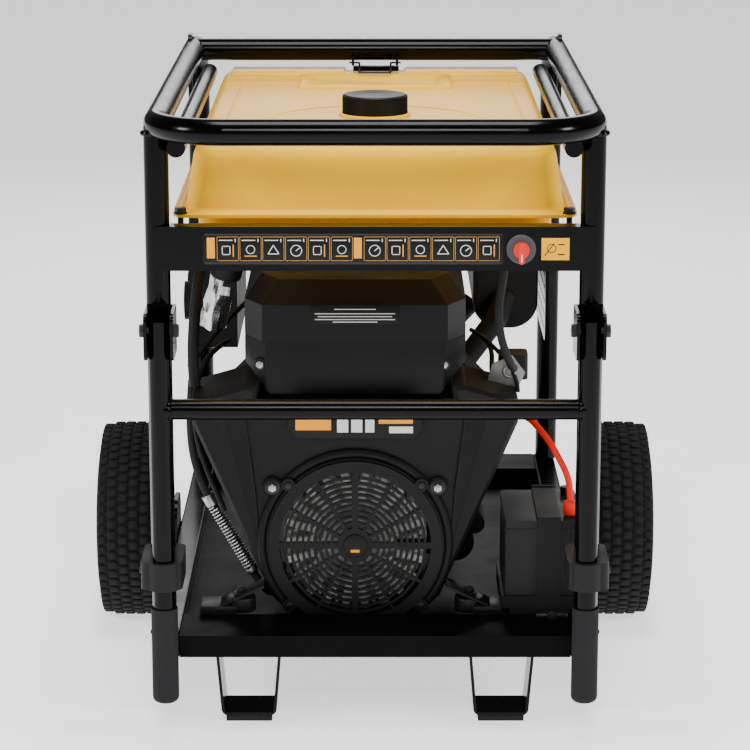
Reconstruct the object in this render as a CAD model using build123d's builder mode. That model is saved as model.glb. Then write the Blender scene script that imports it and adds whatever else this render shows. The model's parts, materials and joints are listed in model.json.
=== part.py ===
"""Portable generator: a V-twin engine and an alternator in an open tube frame.

Millimetres.  +X is to the right seen from the engine end, +Y runs back to the
alternator end and +Z is up.  The origin is on the ground under the middle of
the frame.
"""
import math
import os

from build123d import *

os.makedirs("parts", exist_ok=True)

# ---------------------------------------------------------------- frame sizes
FIT_GAP = 0.1            # between pieces pushed together by hand
RUNNING_GAP = 0.06       # radial play of a turning shaft
BODY_GAP = 1.0           # air between a moving piece and its neighbour

TUBE_D = 34.0            # main frame tube
TUBE_WALL = 2.5
LOOP_Z = 814.0           # middle of the top loop
LOOP_FRONT_Y = -475.0
RAIL_X = 281.0
FRAME_REAR_Y = 475.0
CORNER_R = 90.0          # front corners of the loop, seen from above
REAR_BEND_R = 80.0       # where the rails turn down into the rear legs
UPRIGHT_D = 32.0
UPRIGHT_Y = -404.0
REAR_BAR_Y = 370.0
INNER_RAIL_D = 24.0
INNER_RAIL_X = 252.0
INNER_RAIL_Z = 790.0

RAIL_W = 34.0            # base rails, rectangular tube
RAIL_H = 30.0
RAIL_WALL = 2.5
BASE_RAIL_X = 278.0
RAIL_BOTTOM_Z = 99.0
RAIL_TOP_Z = RAIL_BOTTOM_Z + RAIL_H
RAIL_FRONT_Y = UPRIGHT_Y - UPRIGHT_D / 2
RAIL_REAR_Y = FRAME_REAR_Y + TUBE_D / 2
RAIL_INNER_X = BASE_RAIL_X - RAIL_W / 2
RAIL_OUTER_X = BASE_RAIL_X + RAIL_W / 2
CROSS_DEPTH = 90.0
PAN_T = 3.0

# ------------------------------------------------------- lifting plate sizes
PLATE_T = 6.0
PLATE_X = 286.5
PLATE_FRONT_Y = REAR_BAR_Y - 18.0
PLATE_LENGTH = 88.0
PLATE_TOP_Z = LOOP_Z + 24.0
PLATE_BOTTOM_Z = 700.0
LIFT_HOLE_D = 26.0
LIFT_HOLE_Y = REAR_BAR_Y + 28.0
LIFT_HOLE_Z = 762.0

# ---------------------------------------------------------------- panel sizes
PANEL_T = 3.0
PANEL_X = 286.0
PANEL_BOTTOM_Z = 626.0
PANEL_TOP_Z = 684.0
PANEL_FRONT_Y = UPRIGHT_Y - UPRIGHT_D / 2 - PANEL_T - 0.5
PANEL_LIP = 22.0
STRIP_LENGTH = 386.0
STRIP_HEIGHT = 40.0
STRIP_X = -28.0
PLATES_T = 1.2
SWITCH_X = 188.0
SWITCH_BASE_D = 38.0
SWITCH_BASE_T = 6.0
KNOB_D = 21.0
KNOB_T = 14.0
LABEL_X = 232.0
LABEL_W = 36.0

# --------------------------------------------------------------- handle sizes
HANDLE_D = 28.0
HANDLE_WALL = 2.0
HANDLE_X = 276.0
HANDLE_Y = -470.0
HANDLE_PIVOT_Z = 558.0
HANDLE_BAR_Z = 454.0
HANDLE_BAR_D = 27.0
HANDLE_END_Z = 72.0
GRIP_D = 35.0
GRIP_BOTTOM_Z = 56.0
GRIP_TOP_Z = 186.0
CLIP_Z = 231.5
CLIP_H = 37.0
CLIP_W = 54.0
CLIP_RING_D = 44.0
PIVOT_D = 10.0
CHEEK_T = 4.0
BRACKET_BOTTOM_Z = 521.0
BRACKET_TOP_Z = 582.0
BRACKET_FRONT_Y = HANDLE_Y - 18.0

# ---------------------------------------------------------------- wheel sizes
WHEEL_D = 290.0
WHEEL_W = 100.0
WHEEL_X = 359.0
AXLE_Y = 74.0
AXLE_D = 20.0
AXLE_Z = WHEEL_D / 2
BEAD_R = 64.0            # where the tyre sits on the rim
RIM_W = 88.0
HUB_D = 44.0
HUB_W = 80.0
AXLE_PLATE_T = 6.0
AXLE_NUT_AF = 30.0
AXLE_NUT_T = 8.0

# ----------------------------------------------------------------- foot sizes
FOOT_X = 170.0
FOOT_TOP_W = 88.0
FOOT_BOTTOM_W = 73.0
FOOT_T = 4.0
FOOT_FRONT_Y = -400.0
FOOT_DEPTH = 66.0
PAD_T = 9.0
PAD_W = 62.0

# --------------------------------------------------------------- engine sizes
ENG_X = -27.0
CRANK_Z = 226.0
CRANK_D = 30.0
CRANK_FRONT_Y = -300.0
CRANK_REAR_Y = 322.0
CASE_W = 190.0
CASE_FRONT_Y = -185.0
CASE_REAR_Y = 20.0
CASE_BOTTOM_Z = 130.0
CASE_TOP_Z = 321.0
CASE_TOP_W = 70.0        # flat between the two cylinder decks
CASE_WALL = 6.0
MOUNT_D = 44.0
CYLINDER_ANGLE = 45.0
BORE_CORE_D = 96.0
FIN_W = 120.0
FIN_T = 3.0
FIN_PITCH = 9.0
FIN_COUNT = 10
HEAD_W = 112.0
HEAD_LENGTH = 45.0
COVER_W = 100.0
COVER_LENGTH = 27.0
LEFT_CYLINDER_Y = -118.0
RIGHT_CYLINDER_Y = -85.0
DIPSTICK_D = 5.0
DIPSTICK_X = ENG_X - 24.0
DIPSTICK_Y = 6.0

# --------------------------------------------------------------- blower sizes
SHROUD_FRONT_Y = -314.0
SHROUD_REAR_Y = -189.0
SHROUD_WALL = 4.0
GUARD_R = 118.0
GUARD_SLOT_R = 103.0
GUARD_HUB_R = 24.0
GUARD_T = 6.0
GUARD_RINGS = 9
GUARD_RING_T = 3.4
GUARD_EAR_X = 90.0
GUARD_EAR_Z = 85.0
FAN_R = 98.0
FAN_BLADES = 22
FAN_FRONT_Y = -306.0
FAN_PLATE_Y = -272.0

# ----------------------------------------------------------- air filter sizes
FILTER_W = 301.0
FILTER_BOTTOM_W = 236.0
FILTER_FRONT_Y = -287.0
FILTER_REAR_Y = -28.0
FILTER_BOTTOM_Z = 427.0
FILTER_SPLIT_Z = 501.0
FILTER_TOP_Z = 582.0
FILTER_CORNER = 46.0
FILTER_WALL = 3.0

# ----------------------------------------------------------- alternator sizes
ALT_R = 118.0
ALT_WALL = 6.0
ALT_LENGTH = 286.0
STATOR_R = 110.0
ROTOR_R = 78.0
AIR_GAP = 1.5
STATOR_FRONT_Y = 70.0
STATOR_LENGTH = 170.0

# ----------------------------------------------------------------- tank sizes
TANK_FLANGE_Z = 690.0
TANK_FLANGE_W = 528.0
TANK_FLANGE_T = 4.0
TANK_FRONT_Y = -384.0
TANK_REAR_Y = 425.0
TANK_TOP_Z = 780.0
TANK_BOTTOM_Z = 640.0
TANK_BODY_W = 496.0
TANK_EDGE_R = 20.0
TANK_WALL = 2.0
CAP_Y = -95.0
CAP_D = 91.0
NECK_D = 72.0
NECK_H = 11.0
CAP_H = 28.0

# -------------------------------------------------------- electrics and hoses
BATTERY_X = 228.0
BATTERY_W = 104.0
BATTERY_FRONT_Y = -330.0
BATTERY_DEPTH = 150.0
BATTERY_H = 128.0
TRAY_T = 4.0
BOX_OUTER_X = -275.0
BOX_DEPTH = 70.0
BOX_FRONT_Y = 100.0
BOX_LENGTH = 290.0
BOX_BOTTOM_Z = 400.0
BOX_H = 205.0
BOX_WALL = 2.0
MUFFLER_X = 192.0
MUFFLER_Z = 500.0
MUFFLER_W = 96.0
MUFFLER_H = 120.0
MUFFLER_FRONT_Y = 60.0
MUFFLER_LENGTH = 290.0
MUFFLER_WALL = 2.0
TAILPIPE_D = 34.0
TAILPIPE_LENGTH = 60.0
EXHAUST_D = 32.0
FUEL_HOSE_D = 11.0
DRAIN_HOSE_D = 11.0
GUARD_SPRING_D = 18.0
CABLE_D = 9.0

# small fittings of the tank
CAP_SEAT_GAP = 3.0       # the cap stands this far above the tank
CAP_EDGE_R = 5.0
NECK_WALL = 5.0
TANK_TAPER = 8           # lean of the tank's sides
TANK_CORNER_R = 40.0
TANK_FLANGE_R = 24.0
TANK_BODY_SET_IN = 24.0  # the body is this much shorter than the flange
LOWER_SET_IN = 30.0      # the pan below the flange is this much smaller
TANK_BOLT_SET_IN = 11.0
TANK_BOLT_D = 8.0
TANK_BOLT_CLEARANCE = 0.5
BAIL_PIVOT_Y = REAR_BAR_Y - 20.0
BAIL_PIVOT_Z = LOOP_Z - 18.0
BAIL_WIRE_D = 3.0
BAIL_HOLE_PLAY = 0.1
BAIL_HALF_W = 24.0
BAIL_END_X = 40.0
BAIL_EAR_X = 34.0
BAIL_LENGTH = 58.0
BAIL_TIP_DROP = 8.0

# small fittings of the engine
MOUNT_SPACING_X = CASE_W - 60.0
MOUNT_SPACING_Y = 130.0
WEB_D = 108.0
WEB_T = 12.0
WEB_FRONT_YS = (-150.0, -112.0, -74.0, -36.0)
PLUG_HEX_R = 10.0
PLUG_HEX_H = 12.0
PLUG_BOOT_R = 6.0
PLUG_BOOT_H = 22.0
FAN_HUB_R = 34.0
FAN_DISC_T = 24.0
BLADE_T = 3.2
BLADE_LENGTH = FAN_R - 44.0
BLADE_TURN = 32
SHROUD_CHIN_HALF_W = 69.0
SHROUD_CHIN_Z = 105.0
SHROUD_JAW_HALF_W = 115.0
SHROUD_JAW_Z = 149.0
SHROUD_HALF_W = 220.0
SHROUD_SIDE_Z = 395.0
SHROUD_SHOULDER_Z = 425.0
SHROUD_TOP_HALF_W = 150.0
SHROUD_TOP_Z = 445.0
SHROUD_RING_RIM = 3.0    # the raised ring shows round the guard
SHROUD_RING_H = 8.0
FILTER_NOTCH_W = FILTER_BOTTOM_W + 30.0
FILTER_NOTCH_H = 38.0
GUARD_BAR_W = 9.0
GUARD_SPOKE_W = 4.0
GUARD_EAR_R = 9.0
FILTER_FOOT_SET_BACK = 14.0
FILTER_SHOULDER_Z = FILTER_SPLIT_Z + 50.0
FILTER_CROWN_SET_IN = 23.0
ELEMENT_H = 76.0
ELEMENT_LENGTH = 150.0
CARB_W = 44.0
CARB_LENGTH = 60.0
CARB_THROAT_R = 17.0
CARB_NECK_R = 22.0
CARB_NECK_H = 24.0
STARTER_X = 112.0
STARTER_Z = 185.0
STARTER_R = 28.0
STARTER_LENGTH = 108.0
STARTER_FRONT_Y = -178.0
SOLENOID_X = 140.0
SOLENOID_Z = 212.0
SOLENOID_R = 15.0
SOLENOID_LENGTH = 66.0
STARTER_FOOT_X = 84.0
DIPSTICK_HEAD_R = 9.0
DIPSTICK_HEAD_H = 22.0
ALT_FOOT_W = 150.0
ALT_FOOT_LENGTH = 45.0
VENT_R = 74.0
VENT_COUNT = 16
VENT_LENGTH = 44.0
VENT_W = 9.0

# exhaust
MUFFLER_CORNER_R = 40.0
MUFFLER_EDGE_R = 6.0
TAILPIPE_DROP = 20.0     # the tailpipe leaves below the muffler's middle
SHIELD_GAP = 10.0
SHIELD_T = 2.0
SHIELD_MARGIN_Y = 10.0
SHIELD_MARGIN_Z = 18.0

# battery, pump, hoses and control box
TRAY_H = 26.0
TRAY_LIFT = 1.0          # rubber-thin gap under the tray
STRAP_W = 32.0
STRAP_X = BATTERY_X + 8.0
POST_R = 7.0
POST_H = 12.0
POST_IN_X = 14.0
POST_IN_Y = 24.0
BOOT_X = BATTERY_X + BATTERY_W / 2 - POST_IN_X
BOOT_Y = BATTERY_FRONT_Y + POST_IN_Y
PUMP_SIZE = (40.0, 44.0, 34.0)
PUMP_PLACE = (190.0, -213.0, 452.0)
GUARD_TOP = (-236, -262, 288)
GUARD_FOOT = (-159, -262, 151)
GUARD_SET_BACK = 27.0    # the spring stops short of both bends
GUARD_PLAY = 0.6         # between the spring and the hose inside it
SOCKET_T = 12.0
SOCKET_FLOOR_T = 5.0
SOCKET_D = 58.0
SOCKET_WELL_D = 40.0
BIG_SOCKET_D = 76.0
BIG_SOCKET_WELL_D = 56.0
SOCKET_Z = BOX_BOTTOM_Z + 60.0
SOCKET_YS = (BOX_FRONT_Y + BOX_LENGTH / 2 - 80.0, BOX_FRONT_Y + BOX_LENGTH / 2)
BIG_SOCKET_Y = BOX_FRONT_Y + BOX_LENGTH / 2 + 86.0
KEY_Y = BOX_FRONT_Y + 36.0
KEY_Z = BOX_BOTTOM_Z + BOX_H - 44.0
KEY_R = 9.0
KEY_REACH = 10.0
LEVER_Y = BOX_FRONT_Y + 92.0


def finish(part, label):
    """Name a finished piece and write it to its own file."""
    part.part.label = label
    export_step(part.part, f"parts/{label}.step")


def corner_radii(points):
    """The largest arcs that a hose's straight runs leave room for."""
    radii = []
    for before, here, after in zip(points, points[1:], points[2:]):
        arriving = Vector(*here) - Vector(*before)
        leaving = Vector(*after) - Vector(*here)
        half_turn = math.radians(arriving.get_angle(leaving)) / 2
        shorter_run = min(arriving.length, leaving.length)
        radii.append(0.45 * shorter_run / math.tan(half_turn))
    return radii


def hose(points, diameter, label):
    """A round hose or cable: straight runs joined by arcs."""
    radii = corner_radii(points)
    with BuildPart() as whole:
        with BuildLine() as route:
            FilletPolyline(*points, radius=radii)
        with BuildSketch(Plane(origin=route.line @ 0, z_dir=route.line % 0)):
            Circle(diameter / 2)
        sweep()
    length = sum(edge.length for edge in route.edges())
    true_volume = length * math.pi * diameter**2 / 4
    print(
        f"{label}: length {length:.0f} mm, smallest arc {min(radii):.0f} mm, "
        f"volume against section x length {whole.part.volume / true_volume:.4f}"
    )
    return whole


# =============================================================== tube frame
with BuildPart() as lifting_plates:
    with BuildSketch(Plane.YZ.offset(PLATE_X - PLATE_T / 2)) as plate_outline:
        with BuildLine():
            Polyline(
                (PLATE_FRONT_Y, PLATE_BOTTOM_Z),
                (PLATE_FRONT_Y, PLATE_TOP_Z),
                (PLATE_FRONT_Y + 34, PLATE_TOP_Z),
                (PLATE_FRONT_Y + PLATE_LENGTH, PLATE_TOP_Z - 46),
                (PLATE_FRONT_Y + PLATE_LENGTH, PLATE_BOTTOM_Z + 24),
                (PLATE_FRONT_Y + PLATE_LENGTH - 20, PLATE_BOTTOM_Z),
                close=True,
            )
        make_face()
        fillet(plate_outline.vertices().group_by(Axis.Y)[-1], 12)
        with Locations((LIFT_HOLE_Y, LIFT_HOLE_Z)):
            Circle(LIFT_HOLE_D / 2, mode=Mode.SUBTRACT)
    extrude(amount=PLATE_T)
    mirror(about=Plane.YZ)
finish(lifting_plates, "lifting_plates")

bar_half = PLATE_X - PLATE_T / 2
with BuildPart() as rear_cross_bar:
    with BuildSketch(Plane.YZ.offset(-bar_half)):
        with Locations((REAR_BAR_Y, LOOP_Z)):
            Circle(TUBE_D / 2)
            Circle(TUBE_D / 2 - TUBE_WALL, mode=Mode.SUBTRACT)
    extrude(amount=2 * bar_half)
    # two ears under the bar carry the wire bail
    ear_y = BAIL_PIVOT_Y + 1.5
    ear_z = BAIL_PIVOT_Z + 3
    with Locations((-BAIL_EAR_X, ear_y, ear_z), (BAIL_EAR_X, ear_y, ear_z)):
        Box(4, 16, 14)
    with Locations(Plane.YZ.offset(0)):
        with Locations((BAIL_PIVOT_Y, BAIL_PIVOT_Z)):
            Cylinder(BAIL_WIRE_D / 2 + BAIL_HOLE_PLAY, 2 * BAIL_END_X, mode=Mode.SUBTRACT)
finish(rear_cross_bar, "rear_cross_bar")

loop_points = [
    (-RAIL_X, FRAME_REAR_Y, RAIL_TOP_Z),
    (-RAIL_X, FRAME_REAR_Y, LOOP_Z),
    (-RAIL_X, LOOP_FRONT_Y, LOOP_Z),
    (RAIL_X, LOOP_FRONT_Y, LOOP_Z),
    (RAIL_X, FRAME_REAR_Y, LOOP_Z),
    (RAIL_X, FRAME_REAR_Y, RAIL_TOP_Z),
]
loop_bends = [REAR_BEND_R, CORNER_R, CORNER_R, REAR_BEND_R]
with BuildPart() as loop_envelope:
    with BuildLine():
        FilletPolyline(*loop_points, radius=loop_bends)
    with BuildSketch(Plane(origin=loop_points[0], z_dir=(0, 0, 1))):
        Circle(TUBE_D / 2)
    sweep()

with BuildPart() as top_loop:
    with BuildLine():
        FilletPolyline(*loop_points, radius=loop_bends)
    with BuildSketch(Plane(origin=loop_points[0], z_dir=(0, 0, 1))):
        Circle(TUBE_D / 2)
        Circle(TUBE_D / 2 - TUBE_WALL, mode=Mode.SUBTRACT)
    sweep()
    # the rails are slotted for the plates and coped round the rear bar
    add(lifting_plates.part, mode=Mode.SUBTRACT)
    with BuildSketch(Plane.YZ.offset(-bar_half)):
        with Locations((REAR_BAR_Y, LOOP_Z)):
            Circle(TUBE_D / 2)
    extrude(amount=2 * bar_half, mode=Mode.SUBTRACT)
finish(top_loop, "top_loop")

inner_rail_front = LOOP_FRONT_Y + 24
with BuildPart() as inner_rails:
    with BuildSketch(Plane.XZ.offset(-inner_rail_front)):
        with Locations((INNER_RAIL_X, INNER_RAIL_Z)):
            Circle(INNER_RAIL_D / 2)
    extrude(amount=-(REAR_BAR_Y - 70 - inner_rail_front))
    fillet(inner_rails.edges().sort_by(Axis.Y)[-1], INNER_RAIL_D / 2 - 1)
    add(loop_envelope.part, mode=Mode.SUBTRACT)
    mirror(about=Plane.YZ)
finish(inner_rails, "inner_rails")

with BuildPart() as front_uprights:
    with BuildSketch(Plane.XY.offset(RAIL_TOP_Z)):
        with Locations((RAIL_X, UPRIGHT_Y)):
            Circle(UPRIGHT_D / 2)
            Circle(UPRIGHT_D / 2 - TUBE_WALL, mode=Mode.SUBTRACT)
    extrude(amount=LOOP_Z - RAIL_TOP_Z - TUBE_WALL)
    add(loop_envelope.part, mode=Mode.SUBTRACT)
    mirror(about=Plane.YZ)
finish(front_uprights, "front_uprights")

with BuildPart() as front_panel:
    with BuildSketch(Plane.XZ.offset(-PANEL_FRONT_Y)) as panel_face:
        with Locations((0, (PANEL_TOP_Z + PANEL_BOTTOM_Z) / 2)):
            Rectangle(2 * PANEL_X, PANEL_TOP_Z - PANEL_BOTTOM_Z)
        fillet(panel_face.vertices().group_by(Axis.Y)[0], 14)
        fillet(panel_face.vertices().group_by(Axis.Y)[-1], 4)
    extrude(amount=-PANEL_T)
    lip_half = RAIL_X - UPRIGHT_D / 2 - 0.5
    for lip_z in (PANEL_TOP_Z - PANEL_T / 2, PANEL_BOTTOM_Z + PANEL_T / 2):
        with Locations((0, PANEL_FRONT_Y + PANEL_T + PANEL_LIP / 2, lip_z)):
            Box(2 * lip_half, PANEL_LIP, PANEL_T)
finish(front_panel, "front_panel")

panel_mid_z = (PANEL_TOP_Z + PANEL_BOTTOM_Z) / 2
with BuildPart() as panel_plates:
    with BuildSketch(Plane.XZ.offset(-PANEL_FRONT_Y)):
        with Locations((STRIP_X, panel_mid_z)):
            RectangleRounded(STRIP_LENGTH, STRIP_HEIGHT, 4)
        with Locations((LABEL_X, panel_mid_z)):
            RectangleRounded(LABEL_W, 29, 2)
    extrude(amount=PLATES_T)
finish(panel_plates, "panel_plates")

with BuildPart() as switch_base:
    with BuildSketch(Plane.XZ.offset(-PANEL_FRONT_Y)):
        with Locations((SWITCH_X, panel_mid_z)):
            Circle(SWITCH_BASE_D / 2)
    extrude(amount=SWITCH_BASE_T)
    fillet(switch_base.edges().group_by(Axis.Y)[0], 1.5)
    with Locations(Plane.XZ.offset(-PANEL_FRONT_Y + SWITCH_BASE_T)):
        with Locations((SWITCH_X, panel_mid_z)):
            Hole(4, SWITCH_BASE_T - 2)
finish(switch_base, "switch_base")

with BuildPart() as switch_knob:
    knob_back = -PANEL_FRONT_Y + SWITCH_BASE_T + 0.5
    with BuildSketch(Plane.XZ.offset(knob_back)):
        with Locations((SWITCH_X, panel_mid_z)):
            Circle(KNOB_D / 2)
    extrude(amount=KNOB_T / 2)
    with BuildSketch(Plane.XZ.offset(knob_back)):
        with Locations((SWITCH_X, panel_mid_z - 3)):
            RectangleRounded(7, KNOB_D + 6, 3)
    extrude(amount=KNOB_T)
    with BuildSketch(Plane.XZ.offset(knob_back)):
        with Locations((SWITCH_X, panel_mid_z)):
            Circle(4 - RUNNING_GAP)
    extrude(amount=-(SWITCH_BASE_T - 3))
finish(switch_knob, "switch_knob")

# ===================================================================== base
with BuildPart() as base_rails:
    with BuildSketch(Plane.XZ.offset(-RAIL_FRONT_Y)):
        with Locations((BASE_RAIL_X, (RAIL_TOP_Z + RAIL_BOTTOM_Z) / 2)):
            RectangleRounded(RAIL_W, RAIL_H, 3)
            Rectangle(RAIL_W - 2 * RAIL_WALL, RAIL_H - 2 * RAIL_WALL, mode=Mode.SUBTRACT)
    extrude(amount=-(RAIL_REAR_Y - RAIL_FRONT_Y))
    mirror(about=Plane.YZ)
finish(base_rails, "base_rails")

front_member_y = RAIL_FRONT_Y + CROSS_DEPTH / 2
rear_member_y = RAIL_REAR_Y - CROSS_DEPTH / 2
with BuildPart() as base_tray:
    with BuildSketch(Plane.YZ.offset(-RAIL_INNER_X)):
        with Locations(
            (front_member_y, RAIL_BOTTOM_Z + RAIL_H / 2),
            (rear_member_y, RAIL_BOTTOM_Z + RAIL_H / 2),
        ):
            Rectangle(CROSS_DEPTH, RAIL_H)
            Rectangle(CROSS_DEPTH - 2 * PAN_T, RAIL_H - 2 * PAN_T, mode=Mode.SUBTRACT)
    extrude(amount=2 * RAIL_INNER_X)
    pan_front = front_member_y + CROSS_DEPTH / 2
    pan_rear = rear_member_y - CROSS_DEPTH / 2
    with Locations((0, (pan_front + pan_rear) / 2, RAIL_BOTTOM_Z + PAN_T / 2)):
        Box(2 * RAIL_INNER_X, pan_rear - pan_front, PAN_T)
finish(base_tray, "base_tray")

with BuildPart() as front_feet:
    with BuildSketch(Plane.XZ.offset(-FOOT_FRONT_Y)) as strap:
        with BuildLine():
            Polyline(
                (FOOT_X - FOOT_TOP_W / 2, RAIL_BOTTOM_Z),
                (FOOT_X - FOOT_BOTTOM_W / 2, PAD_T),
                (FOOT_X + FOOT_BOTTOM_W / 2, PAD_T),
                (FOOT_X + FOOT_TOP_W / 2, RAIL_BOTTOM_Z),
                close=True,
            )
        make_face()
        fillet(strap.vertices().group_by(Axis.Y)[0], 9)
        with BuildLine(mode=Mode.PRIVATE) as inside:
            Polyline(
                (FOOT_X - FOOT_TOP_W / 2 + FOOT_T, RAIL_BOTTOM_Z),
                (FOOT_X - FOOT_BOTTOM_W / 2 + FOOT_T, PAD_T + FOOT_T),
                (FOOT_X + FOOT_BOTTOM_W / 2 - FOOT_T, PAD_T + FOOT_T),
                (FOOT_X + FOOT_TOP_W / 2 - FOOT_T, RAIL_BOTTOM_Z),
                close=True,
            )
        make_face(inside.edges(), mode=Mode.SUBTRACT)
    extrude(amount=-FOOT_DEPTH)
    mirror(about=Plane.YZ)
finish(front_feet, "front_feet")

with BuildPart() as foot_pads:
    pad_y = FOOT_FRONT_Y + FOOT_DEPTH / 2
    with Locations((FOOT_X, pad_y, PAD_T / 2), (-FOOT_X, pad_y, PAD_T / 2)):
        Box(PAD_W, FOOT_DEPTH - 4, PAD_T)
    chamfer(foot_pads.edges().group_by(Axis.Z)[0], 1)
finish(foot_pads, "foot_pads")

# ================================================================== handle
cheek_in = HANDLE_D / 2 + BODY_GAP
with BuildPart() as handle_brackets:
    bracket_back = UPRIGHT_Y - UPRIGHT_D / 2 - 0.4
    bracket_h = BRACKET_TOP_Z - BRACKET_BOTTOM_Z
    for side in (-1, 1):
        cheek_x = HANDLE_X + side * (cheek_in + CHEEK_T / 2)
        with BuildSketch(Plane.YZ.offset(cheek_x - CHEEK_T / 2)) as cheek:
            with Locations(((BRACKET_FRONT_Y + bracket_back) / 2, (BRACKET_TOP_Z + BRACKET_BOTTOM_Z) / 2)):
                Rectangle(bracket_back - BRACKET_FRONT_Y, bracket_h)
            fillet(cheek.vertices().group_by(Axis.X)[0], 9)
            with Locations((HANDLE_Y, HANDLE_PIVOT_Z)):
                Circle(PIVOT_D / 2 + RUNNING_GAP, mode=Mode.SUBTRACT)
        extrude(amount=CHEEK_T)
    with Locations((HANDLE_X, bracket_back - CHEEK_T / 2, (BRACKET_TOP_Z + BRACKET_BOTTOM_Z) / 2)):
        Box(2 * (cheek_in + CHEEK_T), CHEEK_T, bracket_h)
    mirror(about=Plane.YZ)
finish(handle_brackets, "handle_brackets")

with BuildPart() as pivot_bolts:
    bolt_reach = cheek_in + CHEEK_T
    with BuildSketch(Plane.YZ.offset(HANDLE_X - bolt_reach - 6.2)):
        with Locations((HANDLE_Y, HANDLE_PIVOT_Z)):
            RegularPolygon(9, 6)
    extrude(amount=6)
    with BuildSketch(Plane.YZ.offset(HANDLE_X + bolt_reach + 0.2)):
        with Locations((HANDLE_Y, HANDLE_PIVOT_Z)):
            RegularPolygon(9, 6)
    extrude(amount=6)
    with BuildSketch(Plane.YZ.offset(HANDLE_X - bolt_reach - 6.2)):
        with Locations((HANDLE_Y, HANDLE_PIVOT_Z)):
            Circle(PIVOT_D / 2)
    extrude(amount=2 * bolt_reach + 12.4)
    mirror(about=Plane.YZ)
finish(pivot_bolts, "pivot_bolts")

with BuildPart() as handle_frame:
    handle_top = HANDLE_PIVOT_Z + 13
    with BuildSketch(Plane.XY.offset(HANDLE_END_Z)):
        with Locations((HANDLE_X, HANDLE_Y), (-HANDLE_X, HANDLE_Y)):
            Circle(HANDLE_D / 2)
    extrude(amount=handle_top - HANDLE_END_Z)
    with BuildSketch(Plane.YZ.offset(-HANDLE_X)):
        with Locations((HANDLE_Y, HANDLE_BAR_Z)):
            Circle(HANDLE_BAR_D / 2)
    extrude(amount=2 * HANDLE_X)
    with BuildSketch(Plane.XY.offset(HANDLE_END_Z)):
        with Locations((HANDLE_X, HANDLE_Y), (-HANDLE_X, HANDLE_Y)):
            Circle(HANDLE_D / 2 - HANDLE_WALL)
    extrude(amount=handle_top - HANDLE_END_Z, mode=Mode.SUBTRACT)
    with BuildSketch(Plane.YZ.offset(-HANDLE_X - HANDLE_D)):
        with Locations((HANDLE_Y, HANDLE_PIVOT_Z)):
            Circle(PIVOT_D / 2 + RUNNING_GAP)
    extrude(amount=2 * (HANDLE_X + HANDLE_D), mode=Mode.SUBTRACT)
finish(handle_frame, "handle_frame")

with BuildPart() as handle_grips:
    with BuildSketch(Plane.XY.offset(GRIP_BOTTOM_Z)):
        with Locations((HANDLE_X, HANDLE_Y), (-HANDLE_X, HANDLE_Y)):
            Circle(GRIP_D / 2)
    extrude(amount=GRIP_TOP_Z - GRIP_BOTTOM_Z)
    with BuildSketch(Plane.XY.offset(HANDLE_END_Z - FIT_GAP)):
        with Locations((HANDLE_X, HANDLE_Y), (-HANDLE_X, HANDLE_Y)):
            Circle(HANDLE_D / 2 + FIT_GAP)
    extrude(amount=GRIP_TOP_Z - HANDLE_END_Z + 1, mode=Mode.SUBTRACT)
    fillet(handle_grips.edges().group_by(Axis.Z)[0], 8)
finish(handle_grips, "handle_grips")

with BuildPart() as handle_clips:
    clip_back = UPRIGHT_Y + 10
    clip_front = HANDLE_Y - 12
    with BuildSketch(Plane.XY.offset(CLIP_Z - CLIP_H / 2)):
        with Locations(((RAIL_X + HANDLE_X) / 2, (clip_back + clip_front) / 2)):
            RectangleRounded(CLIP_W, clip_back - clip_front, 11)
        with Locations((HANDLE_X, HANDLE_Y)):
            Circle(CLIP_RING_D / 2)
            Circle(HANDLE_D / 2 + FIT_GAP, mode=Mode.SUBTRACT)
        with Locations((RAIL_X, UPRIGHT_Y)):
            Circle(UPRIGHT_D / 2 + BODY_GAP / 2, mode=Mode.SUBTRACT)
        with Locations((RAIL_X, UPRIGHT_Y + UPRIGHT_D / 2)):
            Rectangle(UPRIGHT_D + BODY_GAP, UPRIGHT_D, mode=Mode.SUBTRACT)
    extrude(amount=CLIP_H)
    mirror(about=Plane.YZ)
finish(handle_clips, "handle_clips")

# ================================================================== wheels


def wheel_plane(side):
    """Upright plane through the axle: X along the axle, Y outwards."""
    return Plane(origin=(side * WHEEL_X, AXLE_Y, AXLE_Z), x_dir=(1, 0, 0), z_dir=(0, -1, 0))


def tyre(side):
    """A hollow tyre with its beads on the rim."""
    half = WHEEL_W / 2
    outer = WHEEL_D / 2
    side_wall = 9.0
    bead_half = RIM_W / 2 - 4.0
    with BuildPart() as rubber:
        with BuildSketch(wheel_plane(side)) as section:
            with BuildLine():
                Polyline(
                    (-bead_half, BEAD_R), (-bead_half, BEAD_R + 14), (-half, BEAD_R + 30),
                    (-half, outer - 26), (-half + 15, outer), (half - 15, outer),
                    (half, outer - 26), (half, BEAD_R + 30), (bead_half, BEAD_R + 14),
                    (bead_half, BEAD_R), close=True,
                )
            make_face()
            fillet(section.vertices().group_by(Axis.Y)[-1], 10)
            with BuildLine(mode=Mode.PRIVATE) as cavity:
                Polyline(
                    (-bead_half + side_wall, BEAD_R), (-bead_half + side_wall, BEAD_R + 16),
                    (-half + side_wall, BEAD_R + 32), (-half + side_wall, outer - 29),
                    (-half + 20, outer - 11), (half - 20, outer - 11),
                    (half - side_wall, outer - 29), (half - side_wall, BEAD_R + 32),
                    (bead_half - side_wall, BEAD_R + 16), (bead_half - side_wall, BEAD_R),
                    close=True,
                )
            make_face(cavity.edges(), mode=Mode.SUBTRACT)
        revolve(axis=Axis((side * WHEEL_X, AXLE_Y, AXLE_Z), (1, 0, 0)))
    return rubber


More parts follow.
